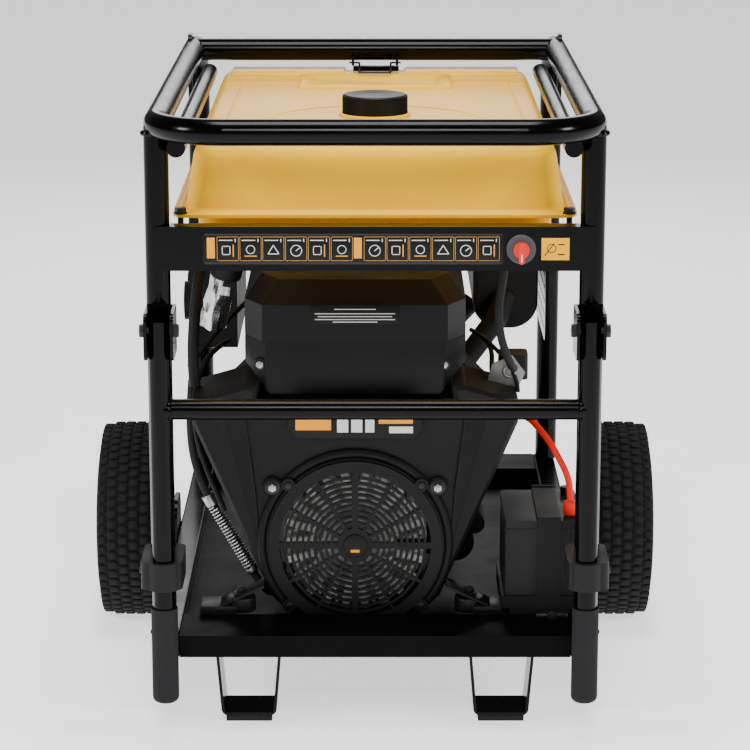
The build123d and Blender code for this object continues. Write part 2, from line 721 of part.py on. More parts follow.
def rim(side):
    """A pressed rim with a hub that runs on its stub axle."""
    barrel_r = BEAD_R - 0.3
    flange_in = RIM_W / 2 - 3.6
    with BuildPart() as metal:
        with BuildSketch(wheel_plane(side)):
            with Locations((0, barrel_r - 3)):
                Rectangle(RIM_W, 6)
            for end in (-1, 1):
                with Locations((end * (flange_in + RIM_W / 2) / 2, barrel_r + 5)):
                    Rectangle(RIM_W / 2 - flange_in, 12)
            with Locations((0, (HUB_D / 2 + barrel_r) / 2 - 2)):
                Rectangle(6, barrel_r - HUB_D / 2)
            with Locations((0, (HUB_D / 2 + AXLE_D / 2 + RUNNING_GAP) / 2)):
                Rectangle(HUB_W, HUB_D / 2 - AXLE_D / 2 - RUNNING_GAP)
        revolve(axis=Axis((side * WHEEL_X, AXLE_Y, AXLE_Z), (1, 0, 0)))
        with Locations(Plane.YZ):
            with Locations((AXLE_Y, AXLE_Z)):
                with PolarLocations(41, 5):
                    Cylinder(7, 1000, mode=Mode.SUBTRACT)
    return metal


tyre_left = tyre(-1)
finish(tyre_left, "tyre_left")
tyre_right = tyre(1)
finish(tyre_right, "tyre_right")
rim_left = rim(-1)
finish(rim_left, "rim_left")
rim_right = rim(1)
finish(rim_right, "rim_right")

hub_outer_x = WHEEL_X + HUB_W / 2
with BuildPart() as stub_axles:
    with BuildSketch(Plane.YZ.offset(RAIL_OUTER_X)) as axle_plate:
        with Locations((AXLE_Y, (RAIL_BOTTOM_Z + AXLE_Z + 34) / 2)):
            Rectangle(84, AXLE_Z + 34 - RAIL_BOTTOM_Z)
        fillet(axle_plate.vertices().group_by(Axis.Y)[-1], 26)
    extrude(amount=AXLE_PLATE_T)
    with BuildSketch(Plane.YZ.offset(RAIL_OUTER_X + AXLE_PLATE_T)):
        with Locations((AXLE_Y, AXLE_Z)):
            Circle(AXLE_D / 2 + 5)
    extrude(amount=WHEEL_X - HUB_W / 2 - BODY_GAP - RAIL_OUTER_X - AXLE_PLATE_T)
    with BuildSketch(Plane.YZ.offset(RAIL_OUTER_X + AXLE_PLATE_T)):
        with Locations((AXLE_Y, AXLE_Z)):
            Circle(AXLE_D / 2)
    extrude(amount=hub_outer_x + BODY_GAP - RAIL_OUTER_X - AXLE_PLATE_T)
    with BuildSketch(Plane.YZ.offset(hub_outer_x + BODY_GAP)):
        with Locations((AXLE_Y, AXLE_Z)):
            Circle(AXLE_D / 2 - 2)
    extrude(amount=AXLE_NUT_T)
    mirror(about=Plane.YZ)
finish(stub_axles, "stub_axles")

with BuildPart() as axle_nuts:
    with BuildSketch(Plane.YZ.offset(hub_outer_x + BODY_GAP)):
        with Locations((AXLE_Y, AXLE_Z)):
            RegularPolygon(AXLE_NUT_AF / 2, 6, major_radius=False)
            Circle(AXLE_D / 2 - 2 + FIT_GAP, mode=Mode.SUBTRACT)
    extrude(amount=AXLE_NUT_T)
    mirror(about=Plane.YZ)
finish(axle_nuts, "axle_nuts")

# ================================================================== engine
case_half = CASE_W / 2
deck_drop = case_half - CASE_TOP_W / 2
deck_distance = (case_half + CASE_TOP_Z - deck_drop - CRANK_Z) / math.sqrt(2)


def case_outline(inset):
    """The crankcase seen along the crankshaft, inset by a wall."""
    half = case_half - inset
    top = CASE_TOP_Z - inset
    flat = CASE_TOP_W / 2 - inset * (math.sqrt(2) - 1)
    slope = half - flat
    return [
        (ENG_X - half, CASE_BOTTOM_Z + inset), (ENG_X + half, CASE_BOTTOM_Z + inset),
        (ENG_X + half, top - slope), (ENG_X + flat, top),
        (ENG_X - flat, top), (ENG_X - half, top - slope),
    ]


with BuildPart() as crankcase:
    with BuildSketch(Plane.XZ.offset(-CASE_FRONT_Y)):
        with BuildLine():
            Polyline(*case_outline(0), close=True)
        make_face()
    extrude(amount=-(CASE_REAR_Y - CASE_FRONT_Y))
    fillet(crankcase.edges().filter_by(Axis.Y).group_by(Axis.Z)[0], 12)
    with BuildSketch(Plane.XZ.offset(-CASE_FRONT_Y - CASE_WALL)):
        with BuildLine():
            Polyline(*case_outline(CASE_WALL), close=True)
        make_face()
    extrude(amount=-(CASE_REAR_Y - CASE_FRONT_Y - 2 * CASE_WALL), mode=Mode.SUBTRACT)
    with BuildSketch(Plane.XZ.offset(-CASE_FRONT_Y + 1)):
        with Locations((ENG_X, CRANK_Z)):
            Circle(CRANK_D / 2 + RUNNING_GAP)
    extrude(amount=-(CASE_REAR_Y - CASE_FRONT_Y + 2), mode=Mode.SUBTRACT)
    with BuildSketch(Plane.XY.offset(CASE_TOP_Z - CASE_WALL - 1)):
        with Locations((DIPSTICK_X, DIPSTICK_Y)):
            Circle(DIPSTICK_D / 2 + BODY_GAP)
    extrude(amount=CASE_WALL + 2, mode=Mode.SUBTRACT)
finish(crankcase, "crankcase")

with BuildPart() as engine_mounts:
    pan_top = RAIL_BOTTOM_Z + PAN_T
    with BuildSketch(Plane.XY.offset(pan_top)):
        with Locations((ENG_X, (CASE_FRONT_Y + CASE_REAR_Y) / 2)):
            with GridLocations(MOUNT_SPACING_X, MOUNT_SPACING_Y, 2, 2):
                Circle(MOUNT_D / 2)
    extrude(amount=CASE_BOTTOM_Z - pan_top)
finish(engine_mounts, "engine_mounts")


def cylinder_plane(side, y, distance):
    """A plane across a cylinder, at a distance from the crankshaft."""
    lean = math.radians(CYLINDER_ANGLE)
    outwards = (side * math.sin(lean), 0, math.cos(lean))
    origin = (ENG_X + outwards[0] * distance, y, CRANK_Z + outwards[2] * distance)
    return Plane(origin=origin, x_dir=(0, 1, 0), z_dir=outwards)


cylinder_places = [(-1, LEFT_CYLINDER_Y), (1, RIGHT_CYLINDER_Y)]
fins_length = FIN_COUNT * FIN_PITCH
head_distance = deck_distance + fins_length
with BuildPart() as cylinders:
    for side, y in cylinder_places:
        with BuildSketch(cylinder_plane(side, y, deck_distance)):
            Circle(BORE_CORE_D / 2 - 8)
        extrude(amount=fins_length)
        for fin in range(1, FIN_COUNT):
            with BuildSketch(cylinder_plane(side, y, deck_distance + fin * FIN_PITCH)):
                RectangleRounded(FIN_W, FIN_W, 18)
            extrude(amount=FIN_T)
        with BuildSketch(cylinder_plane(side, y, head_distance)):
            RectangleRounded(HEAD_W, HEAD_W, 12)
        extrude(amount=HEAD_LENGTH)
finish(cylinders, "cylinders")

cover_distance = head_distance + HEAD_LENGTH
with BuildPart() as valve_covers:
    for side, y in cylinder_places:
        with BuildSketch(cylinder_plane(side, y, cover_distance)):
            RectangleRounded(COVER_W, COVER_W, 16)
        extrude(amount=COVER_LENGTH, taper=10)
finish(valve_covers, "valve_covers")

with BuildPart() as spark_plugs:
    for side, y in cylinder_places:
        head_mid = cylinder_plane(side, y, head_distance + HEAD_LENGTH / 2)
        plug_plane = Plane(
            origin=head_mid.origin + head_mid.y_dir * (-side * HEAD_W / 2),
            x_dir=(0, 1, 0),
            z_dir=head_mid.y_dir * -side,
        )
        with BuildSketch(plug_plane):
            RegularPolygon(PLUG_HEX_R, 6)
        extrude(amount=PLUG_HEX_H)
        with BuildSketch(plug_plane.offset(PLUG_HEX_H)):
            Circle(PLUG_BOOT_R)
        extrude(amount=PLUG_BOOT_H)
finish(spark_plugs, "spark_plugs")

with BuildPart() as crankshaft:
    with BuildSketch(Plane.XZ.offset(-CRANK_FRONT_Y)):
        with Locations((ENG_X, CRANK_Z)):
            Circle(CRANK_D / 2)
    extrude(amount=-(CRANK_REAR_Y - CRANK_FRONT_Y))
    for web_y in WEB_FRONT_YS:
        with BuildSketch(Plane.XZ.offset(-web_y)):
            with Locations((ENG_X, CRANK_Z)):
                Circle(WEB_D / 2)
        extrude(amount=-WEB_T)
finish(crankshaft, "crankshaft")

with BuildPart() as cooling_fan:
    with BuildSketch(Plane.XZ.offset(-FAN_PLATE_Y)):
        with Locations((ENG_X, CRANK_Z)):
            Circle(FAN_R)
            Circle(CRANK_D / 2 + FIT_GAP, mode=Mode.SUBTRACT)
    extrude(amount=-FAN_DISC_T)
    with BuildSketch(Plane.XZ.offset(-FAN_PLATE_Y)):
        with Locations((ENG_X, CRANK_Z)):
            Circle(FAN_HUB_R)
            Circle(CRANK_D / 2 + FIT_GAP, mode=Mode.SUBTRACT)
    extrude(amount=FAN_PLATE_Y - CRANK_FRONT_Y)
    with BuildSketch(Plane.XZ.offset(-FAN_PLATE_Y)):
        with Locations((ENG_X, CRANK_Z)):
            with PolarLocations(FAN_R - 2 - BLADE_LENGTH / 2, FAN_BLADES):
                Rectangle(BLADE_LENGTH, BLADE_T, rotation=BLADE_TURN)
    extrude(amount=FAN_PLATE_Y - FAN_FRONT_Y)
finish(cooling_fan, "cooling_fan")


def shroud_outline(inset):
    """The blower housing seen from the front, inset by its wall."""
    chin = SHROUD_CHIN_HALF_W - inset / 2
    jaw = SHROUD_JAW_HALF_W - inset
    jaw_z = SHROUD_JAW_Z + inset / 2
    side = SHROUD_HALF_W - inset
    shoulder_z = SHROUD_SHOULDER_Z - inset / 2
    return [
        (ENG_X - chin, SHROUD_CHIN_Z + inset), (ENG_X + chin, SHROUD_CHIN_Z + inset),
        (ENG_X + jaw, jaw_z), (ENG_X + side, SHROUD_SIDE_Z), (ENG_X + side, shoulder_z),
        (ENG_X + SHROUD_TOP_HALF_W, SHROUD_TOP_Z - inset),
        (ENG_X - SHROUD_TOP_HALF_W, SHROUD_TOP_Z - inset),
        (ENG_X - side, shoulder_z), (ENG_X - side, SHROUD_SIDE_Z), (ENG_X - jaw, jaw_z),
    ]


with BuildPart() as blower_shroud:
    with BuildSketch(Plane.XZ.offset(-SHROUD_FRONT_Y)):
        with BuildLine():
            Polyline(*shroud_outline(0), close=True)
        make_face()
        with Locations((ENG_X, FILTER_BOTTOM_Z)):
            Rectangle(FILTER_NOTCH_W, FILTER_NOTCH_H, mode=Mode.SUBTRACT)
    extrude(amount=-(SHROUD_REAR_Y - SHROUD_FRONT_Y))
    chamfer(blower_shroud.faces().sort_by(Axis.Y)[0].edges(), SHROUD_WALL + 1)
    with BuildSketch(Plane.XZ.offset(-SHROUD_FRONT_Y - SHROUD_WALL)):
        with BuildLine():
            Polyline(*shroud_outline(SHROUD_WALL), close=True)
        make_face()
        with Locations((ENG_X, FILTER_BOTTOM_Z)):
            Rectangle(FILTER_NOTCH_W + 2 * SHROUD_WALL, FILTER_NOTCH_H + 2 * SHROUD_WALL, mode=Mode.SUBTRACT)
    extrude(amount=-(SHROUD_REAR_Y - SHROUD_FRONT_Y), mode=Mode.SUBTRACT)
    with BuildSketch(Plane.XZ.offset(-SHROUD_FRONT_Y)):
        with Locations((ENG_X, CRANK_Z)):
            Circle(GUARD_R + SHROUD_RING_RIM)
    extrude(amount=SHROUD_RING_H)
    with BuildSketch(Plane.XZ.offset(-SHROUD_FRONT_Y + SHROUD_RING_H + 1)):
        with Locations((ENG_X, CRANK_Z)):
            Circle(GUARD_SLOT_R)
    extrude(amount=-30, mode=Mode.SUBTRACT)
finish(blower_shroud, "blower_shroud")

guard_back = -SHROUD_FRONT_Y + SHROUD_RING_H
ring_pitch = (GUARD_SLOT_R - GUARD_HUB_R) / (GUARD_RINGS + 1)
with BuildPart() as fan_guard:
    with BuildSketch(Plane.XZ.offset(guard_back)):
        with Locations((ENG_X, CRANK_Z)):
            Circle(GUARD_R)
            Circle(GUARD_SLOT_R, mode=Mode.SUBTRACT)
            for ring in range(1, GUARD_RINGS + 1):
                ring_r = GUARD_HUB_R + ring * ring_pitch
                with BuildSketch(mode=Mode.PRIVATE) as one_ring:
                    Circle(ring_r + GUARD_RING_T / 2)
                    Circle(ring_r - GUARD_RING_T / 2, mode=Mode.SUBTRACT)
                add(one_ring.sketch)
            Circle(GUARD_HUB_R)
            Rectangle(2 * GUARD_SLOT_R + 4, GUARD_BAR_W)
            Rectangle(GUARD_BAR_W, 2 * GUARD_SLOT_R + 4)
            for turn in (30, 60, 120, 150):
                Rectangle(2 * GUARD_SLOT_R + 4, GUARD_SPOKE_W, rotation=turn)
            with GridLocations(2 * GUARD_EAR_X, 2 * GUARD_EAR_Z, 2, 2):
                Circle(GUARD_EAR_R)
    extrude(amount=GUARD_T)
finish(fan_guard, "fan_guard")


def filter_outline(width, front_y, rear_y):
    """The air box seen from above, with cut front corners."""
    half = width / 2
    return [
        (ENG_X - half, rear_y), (ENG_X - half, front_y + FILTER_CORNER),
        (ENG_X - half + FILTER_CORNER * 0.55, front_y), (ENG_X + half - FILTER_CORNER * 0.55, front_y),
        (ENG_X + half, front_y + FILTER_CORNER), (ENG_X + half, rear_y),
    ]


def filter_section(z, width, front_y, rear_y=FILTER_REAR_Y):
    """One level outline of the air box."""
    with BuildSketch(Plane.XY.offset(z)) as level:
        with BuildLine():
            Polyline(*filter_outline(width, front_y, rear_y), close=True)
        make_face()
    return level.sketch


foot_front_y = FILTER_FRONT_Y + FILTER_FOOT_SET_BACK
with BuildPart() as air_filter_base:
    foot = filter_section(FILTER_BOTTOM_Z, FILTER_BOTTOM_W, foot_front_y)
    brim = filter_section(FILTER_SPLIT_Z, FILTER_W, FILTER_FRONT_Y)
    loft([foot, brim])
    inner_rear_y = FILTER_REAR_Y - FILTER_WALL
    inner_foot = filter_section(
        FILTER_BOTTOM_Z + FILTER_WALL, FILTER_BOTTOM_W - 2 * FILTER_WALL,
        foot_front_y + FILTER_WALL, inner_rear_y,
    )
    inner_brim = filter_section(
        FILTER_SPLIT_Z + FIT_GAP, FILTER_W - 2 * FILTER_WALL, FILTER_FRONT_Y + FILTER_WALL, inner_rear_y
    )
    loft([inner_foot, inner_brim], mode=Mode.SUBTRACT)
finish(air_filter_base, "air_filter_base")

with BuildPart() as air_filter_cover:
    brim = filter_section(FILTER_SPLIT_Z + FIT_GAP, FILTER_W, FILTER_FRONT_Y)
    shoulder = filter_section(FILTER_SHOULDER_Z, FILTER_W, FILTER_FRONT_Y)
    crown = filter_section(
        FILTER_TOP_Z, FILTER_W - 2 * FILTER_CROWN_SET_IN, FILTER_FRONT_Y + FILTER_CROWN_SET_IN - 1
    )
    loft([brim, shoulder])
    loft([shoulder, crown])
    inner_brim = filter_section(
        FILTER_SPLIT_Z, FILTER_W - 2 * FILTER_WALL, FILTER_FRONT_Y + FILTER_WALL, inner_rear_y
    )
    crown_in = FILTER_CROWN_SET_IN + 7
    inner_crown = filter_section(
        FILTER_TOP_Z - 2 * FILTER_WALL, FILTER_W - 2 * crown_in, FILTER_FRONT_Y + crown_in, inner_rear_y
    )
    loft([inner_brim, inner_crown], mode=Mode.SUBTRACT)
finish(air_filter_cover, "air_filter_cover")

with BuildPart() as air_filter_element:
    element_z = FILTER_BOTTOM_Z + FILTER_WALL + 2
    with Locations((ENG_X, (FILTER_FRONT_Y + FILTER_REAR_Y) / 2 + 4, element_z + ELEMENT_H / 2 + 2)):
        Box(FILTER_BOTTOM_W - 66, ELEMENT_LENGTH, ELEMENT_H)
    fillet(air_filter_element.edges().filter_by(Axis.Z), 14)
finish(air_filter_element, "air_filter_element")

with BuildPart() as carburettor:
    carb_y = (LEFT_CYLINDER_Y + RIGHT_CYLINDER_Y) / 2
    carb_low = CASE_TOP_Z + 22
    neck_z = FILTER_BOTTOM_Z - CARB_NECK_H
    with Locations((ENG_X, carb_y, (carb_low + neck_z) / 2)):
        Box(CARB_W, CARB_LENGTH, neck_z - carb_low)
    with BuildSketch(Plane.XY.offset(neck_z)):
        with Locations((ENG_X, carb_y)):
            Circle(CARB_NECK_R)
            Circle(CARB_THROAT_R, mode=Mode.SUBTRACT)
    extrude(amount=CARB_NECK_H - FIT_GAP)
finish(carburettor, "carburettor")

with BuildPart() as starter_motor:
    for x, z, radius, length in (
        (STARTER_X, STARTER_Z, STARTER_R, STARTER_LENGTH),
        (SOLENOID_X, SOLENOID_Z, SOLENOID_R, SOLENOID_LENGTH),
    ):
        with BuildSketch(Plane.XZ.offset(-STARTER_FRONT_Y)):
            with Locations((x, z)):
                Circle(radius)
        extrude(amount=-length)
    with Locations((STARTER_FOOT_X, STARTER_FRONT_Y + 18, STARTER_Z)):
        Box(2 * (STARTER_FOOT_X - ENG_X - case_half - FIT_GAP), 20, 40)
finish(starter_motor, "starter_motor")

with BuildPart() as dipstick:
    with BuildSketch(Plane.XY.offset(CASE_BOTTOM_Z + 30)):
        with Locations((DIPSTICK_X, DIPSTICK_Y)):
            Circle(DIPSTICK_D / 2)
    extrude(amount=CASE_TOP_Z + 2 - CASE_BOTTOM_Z - 30)
    with BuildSketch(Plane.XY.offset(CASE_TOP_Z + 0.5)):
        with Locations((DIPSTICK_X, DIPSTICK_Y)):
            Circle(DIPSTICK_HEAD_R)
    extrude(amount=DIPSTICK_HEAD_H)
    fillet(dipstick.faces().sort_by(Axis.Z)[-1].edges(), 4)
finish(dipstick, "dipstick")

# =============================================================== alternator
with BuildPart() as alternator_housing:
    alt_rear = CASE_REAR_Y + ALT_LENGTH
    with BuildSketch(Plane.XZ.offset(-CASE_REAR_Y - FIT_GAP)):
        with Locations((ENG_X, CRANK_Z)):
            Circle(ALT_R)
        with Locations((ENG_X, (pan_top + CRANK_Z) / 2)):
            Rectangle(ALT_FOOT_W, CRANK_Z - pan_top)
    extrude(amount=-ALT_LENGTH)
    with BuildSketch(Plane.XZ.offset(-CASE_REAR_Y - FIT_GAP - ALT_WALL)):
        with Locations((ENG_X, CRANK_Z)):
            Circle(ALT_R - ALT_WALL)
    extrude(amount=-(ALT_LENGTH - 2 * ALT_WALL), mode=Mode.SUBTRACT)
    with BuildSketch(Plane.XZ.offset(-CASE_REAR_Y + 1)):
        with Locations((ENG_X, CRANK_Z)):
            Circle(CRANK_D / 2 + RUNNING_GAP)
    extrude(amount=-(ALT_LENGTH + 3), mode=Mode.SUBTRACT)
    with BuildSketch(Plane.XZ.offset(-alt_rear - 2)):
        with Locations((ENG_X, CRANK_Z)):
            with PolarLocations(VENT_R, VENT_COUNT):
                SlotOverall(VENT_LENGTH, VENT_W)
    extrude(amount=ALT_WALL + 4, mode=Mode.SUBTRACT)
    with BuildSketch(Plane.XY.offset(pan_top - 1)):
        with Locations((ENG_X, CASE_REAR_Y + ALT_LENGTH / 2)):
            Rectangle(ALT_FOOT_W + 1, ALT_LENGTH - 2 * ALT_FOOT_LENGTH)
    extrude(amount=CRANK_Z - ALT_R + 14 - pan_top, mode=Mode.SUBTRACT)
finish(alternator_housing, "alternator_housing")

with BuildPart() as stator:
    with BuildSketch(Plane.XZ.offset(-STATOR_FRONT_Y)):
        with Locations((ENG_X, CRANK_Z)):
            Circle(STATOR_R)
            Circle(ROTOR_R + AIR_GAP, mode=Mode.SUBTRACT)
    extrude(amount=-STATOR_LENGTH)
finish(stator, "stator")

with BuildPart() as rotor:
    with BuildSketch(Plane.XZ.offset(-STATOR_FRONT_Y)):
        with Locations((ENG_X, CRANK_Z)):
            Circle(ROTOR_R)
            Circle(CRANK_D / 2 + FIT_GAP, mode=Mode.SUBTRACT)
    extrude(amount=-STATOR_LENGTH)
finish(rotor, "rotor")

# =============================================================== fuel tank
tank_mid_y = (TANK_FRONT_Y + TANK_REAR_Y) / 2
tank_length = TANK_REAR_Y - TANK_FRONT_Y
body_length = tank_length - TANK_BODY_SET_IN


def tank_body(inset):
    """The upper pressing of the tank, or its inside when inset by the wall."""
    with BuildPart() as shape:
        with BuildSketch(Plane.XY.offset(TANK_FLANGE_Z)):
            with Locations((0, tank_mid_y)):
                RectangleRounded(TANK_BODY_W - 2 * inset, body_length - 2 * inset, TANK_CORNER_R - inset)
        extrude(amount=TANK_TOP_Z - inset - TANK_FLANGE_Z, taper=TANK_TAPER)
        fillet(shape.faces().sort_by(Axis.Z)[-1].edges(), TANK_EDGE_R - inset)
        with BuildSketch(Plane.XY.offset(TANK_FLANGE_Z)):
            with Locations((0, tank_mid_y)):
                RectangleRounded(
                    TANK_BODY_W - LOWER_SET_IN - 2 * inset,
                    body_length - LOWER_SET_IN - 2 * inset,
                    TANK_CORNER_R - inset,
                )
        extrude(amount=TANK_BOTTOM_Z + inset - TANK_FLANGE_Z)
    return shape


bolt_span_x = TANK_FLANGE_W - 2 * TANK_BOLT_SET_IN
bolt_span_y = tank_length - 2 * TANK_BOLT_SET_IN
tank_cavity = tank_body(TANK_WALL)
with BuildPart() as fuel_tank:
    add(tank_body(0).part)
    with BuildSketch(Plane.XY.offset(TANK_FLANGE_Z - TANK_FLANGE_T / 2)):
        with Locations((0, tank_mid_y)):
            RectangleRounded(TANK_FLANGE_W, tank_length, TANK_FLANGE_R)
    extrude(amount=TANK_FLANGE_T)
    with BuildSketch(Plane.XY.offset(TANK_TOP_Z - TANK_WALL)):
        with Locations((0, CAP_Y)):
            Circle(NECK_D / 2)
    extrude(amount=NECK_H + TANK_WALL)
    add(tank_cavity.part, mode=Mode.SUBTRACT)
    with BuildSketch(Plane.XY.offset(TANK_TOP_Z - 2 * TANK_WALL)):
        with Locations((0, CAP_Y)):
            Circle(NECK_D / 2 - NECK_WALL)
    extrude(amount=NECK_H + 3 * TANK_WALL, mode=Mode.SUBTRACT)
    with BuildSketch(Plane.XY.offset(TANK_FLANGE_Z - TANK_FLANGE_T)):
        with Locations((0, tank_mid_y)):
            with GridLocations(bolt_span_x, bolt_span_y, 2, 2):
                Circle(TANK_BOLT_D / 2 + TANK_BOLT_CLEARANCE)
    extrude(amount=2 * TANK_FLANGE_T, mode=Mode.SUBTRACT)
finish(fuel_tank, "fuel_tank")

with BuildPart() as tank_bolts:
    flange_top = TANK_FLANGE_Z + TANK_FLANGE_T / 2
    for start, height, radius, sides in (
        (flange_top, 2, 9, 0), (flange_top + 2, 6, 7.5, 6), (flange_top - 16, 17, TANK_BOLT_D / 2, 0),
    ):
        with BuildSketch(Plane.XY.offset(start)):
            with Locations((0, tank_mid_y)):
                with GridLocations(bolt_span_x, bolt_span_y, 2, 2):
                    if sides:
                        RegularPolygon(radius, sides)
                    else:
                        Circle(radius)
        extrude(amount=height)
finish(tank_bolts, "tank_bolts")

with BuildPart() as fuel_cap:
    cap_bottom = TANK_TOP_Z + CAP_SEAT_GAP
    with BuildSketch(Plane.XY.offset(cap_bottom)):
        with Locations((0, CAP_Y)):
            Circle(CAP_D / 2)
    extrude(amount=CAP_H)
    fillet(fuel_cap.faces().sort_by(Axis.Z)[-1].edges(), CAP_EDGE_R)
    with BuildSketch(Plane.XY.offset(cap_bottom - 1)):
        with Locations((0, CAP_Y)):
            Circle(NECK_D / 2 + BODY_GAP)
    extrude(amount=NECK_H + 4, mode=Mode.SUBTRACT)
finish(fuel_cap, "fuel_cap")

with BuildPart() as wire_bail:
    tip_y = BAIL_PIVOT_Y - BAIL_LENGTH
    tip_z = BAIL_PIVOT_Z - BAIL_TIP_DROP
    with BuildLine():
        FilletPolyline(
            (-BAIL_END_X, BAIL_PIVOT_Y, BAIL_PIVOT_Z), (-BAIL_HALF_W, BAIL_PIVOT_Y, BAIL_PIVOT_Z),
            (-BAIL_HALF_W, tip_y, tip_z), (BAIL_HALF_W, tip_y, tip_z),
            (BAIL_HALF_W, BAIL_PIVOT_Y, BAIL_PIVOT_Z), (BAIL_END_X, BAIL_PIVOT_Y, BAIL_PIVOT_Z),
            radius=5,
        )
    with BuildSketch(Plane(origin=(-BAIL_END_X, BAIL_PIVOT_Y, BAIL_PIVOT_Z), z_dir=(1, 0, 0))):
        Circle(BAIL_WIRE_D / 2)
    sweep()
finish(wire_bail, "wire_bail")

# ================================================================= exhaust
with BuildPart() as muffler:
    with BuildSketch(Plane.XZ.offset(-MUFFLER_FRONT_Y)):
        with Locations((MUFFLER_X, MUFFLER_Z)):
            RectangleRounded(MUFFLER_W, MUFFLER_H, MUFFLER_CORNER_R)
    extrude(amount=-MUFFLER_LENGTH)
    fillet(muffler.edges().filter_by(GeomType.LINE, reverse=True).group_by(Axis.Y)[0], MUFFLER_EDGE_R)
    with BuildSketch(Plane.XZ.offset(-MUFFLER_FRONT_Y - MUFFLER_LENGTH)):
        with Locations((MUFFLER_X, MUFFLER_Z - TAILPIPE_DROP)):
            Circle(TAILPIPE_D / 2)
    extrude(amount=-TAILPIPE_LENGTH)
    with BuildSketch(Plane.XZ.offset(-MUFFLER_FRONT_Y - MUFFLER_WALL)):
        with Locations((MUFFLER_X, MUFFLER_Z)):
            RectangleRounded(
                MUFFLER_W - 2 * MUFFLER_WALL, MUFFLER_H - 2 * MUFFLER_WALL, MUFFLER_CORNER_R - MUFFLER_WALL
            )
    extrude(amount=-(MUFFLER_LENGTH - 2 * MUFFLER_WALL), mode=Mode.SUBTRACT)
    with BuildSketch(Plane.XZ.offset(-MUFFLER_FRONT_Y - MUFFLER_LENGTH + 2 * MUFFLER_WALL)):
        with Locations((MUFFLER_X, MUFFLER_Z - TAILPIPE_DROP)):
            Circle(TAILPIPE_D / 2 - MUFFLER_WALL)
    extrude(amount=-TAILPIPE_LENGTH - 3 * MUFFLER_WALL, mode=Mode.SUBTRACT)
finish(muffler, "muffler")

head_centre = head_distance + HEAD_LENGTH / 2
lean = math.radians(CYLINDER_ANGLE)
right_port = (ENG_X + math.sin(lean) * head_centre, RIGHT_CYLINDER_Y + HEAD_W / 2)
left_port = (ENG_X - math.sin(lean) * head_centre, LEFT_CYLINDER_Y + HEAD_W / 2)
port_z = CRANK_Z + math.cos(lean) * head_centre
exhaust_right = [
    (right_port[0], right_port[1], port_z), (right_port[0] + 6, 20, port_z + 20),
    (MUFFLER_X - 14, MUFFLER_FRONT_Y - 22, MUFFLER_Z - 40), (MUFFLER_X, MUFFLER_FRONT_Y, MUFFLER_Z - 10),
]
exhaust_left = [
    (left_port[0], left_port[1], port_z), (left_port[0], left_port[1] + 66, port_z + 4),
    (left_port[0] + 70, 44, port_z + 8), (MUFFLER_X - 130, 44, port_z + 10),
    (MUFFLER_X - 104, 100, port_z + 44), (MUFFLER_X - MUFFLER_W / 2, 130, MUFFLER_Z - 34),
]
with BuildPart() as exhaust_pipes:
    with BuildLine() as right_route:
        FilletPolyline(*exhaust_right, radius=18)
    with BuildSketch(Plane(origin=exhaust_right[0], z_dir=right_route.line % 0)):
        Circle(EXHAUST_D / 2)
    sweep()
    with BuildLine() as left_route:
        FilletPolyline(*exhaust_left, radius=20)
    with BuildSketch(Plane(origin=exhaust_left[0], z_dir=left_route.line % 0)):
        Circle(EXHAUST_D / 2)
    sweep()
    with BuildSketch(Plane.XZ.offset(-MUFFLER_FRONT_Y)):
        with Locations((MUFFLER_X, MUFFLER_Z)):
            RectangleRounded(MUFFLER_W, MUFFLER_H, MUFFLER_CORNER_R)
    extrude(amount=-MUFFLER_LENGTH, mode=Mode.SUBTRACT)
    add(cylinders.part, mode=Mode.SUBTRACT)
finish(exhaust_pipes, "exhaust_pipes")

with BuildPart() as muffler_shield:
    shield_x = MUFFLER_X + MUFFLER_W / 2 + SHIELD_GAP
    with BuildSketch(Plane.YZ.offset(shield_x)):
        with Locations((MUFFLER_FRONT_Y + MUFFLER_LENGTH / 2, MUFFLER_Z)):
            RectangleRounded(MUFFLER_LENGTH + 2 * SHIELD_MARGIN_Y, MUFFLER_H + 2 * SHIELD_MARGIN_Z, 12)
            with GridLocations(24, 20, 12, 7):
                SlotOverall(15, 7, mode=Mode.SUBTRACT)
    extrude(amount=SHIELD_T)
finish(muffler_shield, "muffler_shield")

# ================================================================= battery
battery_mid_y = BATTERY_FRONT_Y + BATTERY_DEPTH / 2
battery_floor = RAIL_TOP_Z + TRAY_LIFT + TRAY_T
battery_top = battery_floor + BATTERY_H
with BuildPart() as battery_tray:
    with Locations((BATTERY_X, battery_mid_y, RAIL_TOP_Z + TRAY_LIFT + TRAY_H / 2)):
        Box(BATTERY_W + 2 * TRAY_T, BATTERY_DEPTH + 2 * TRAY_T, TRAY_H)
    with Locations((BATTERY_X, battery_mid_y, battery_floor + 20)):
        Box(BATTERY_W + 2 * FIT_GAP, BATTERY_DEPTH + 2 * FIT_GAP, 40, mode=Mode.SUBTRACT)
    strap_front = BATTERY_FRONT_Y - FIT_GAP - TRAY_T / 2
    strap_back = BATTERY_FRONT_Y + BATTERY_DEPTH + FIT_GAP + TRAY_T / 2
    for y in (strap_front, strap_back):
        with Locations((STRAP_X, y, (RAIL_TOP_Z + battery_top) / 2 + 4)):
            Box(STRAP_W, TRAY_T, battery_top - RAIL_TOP_Z + 4)
    with Locations((STRAP_X, battery_mid_y, battery_top + TRAY_T / 2 + FIT_GAP)):
        Box(STRAP_W, strap_back - strap_front + TRAY_T, TRAY_T)
finish(battery_tray, "battery_tray")

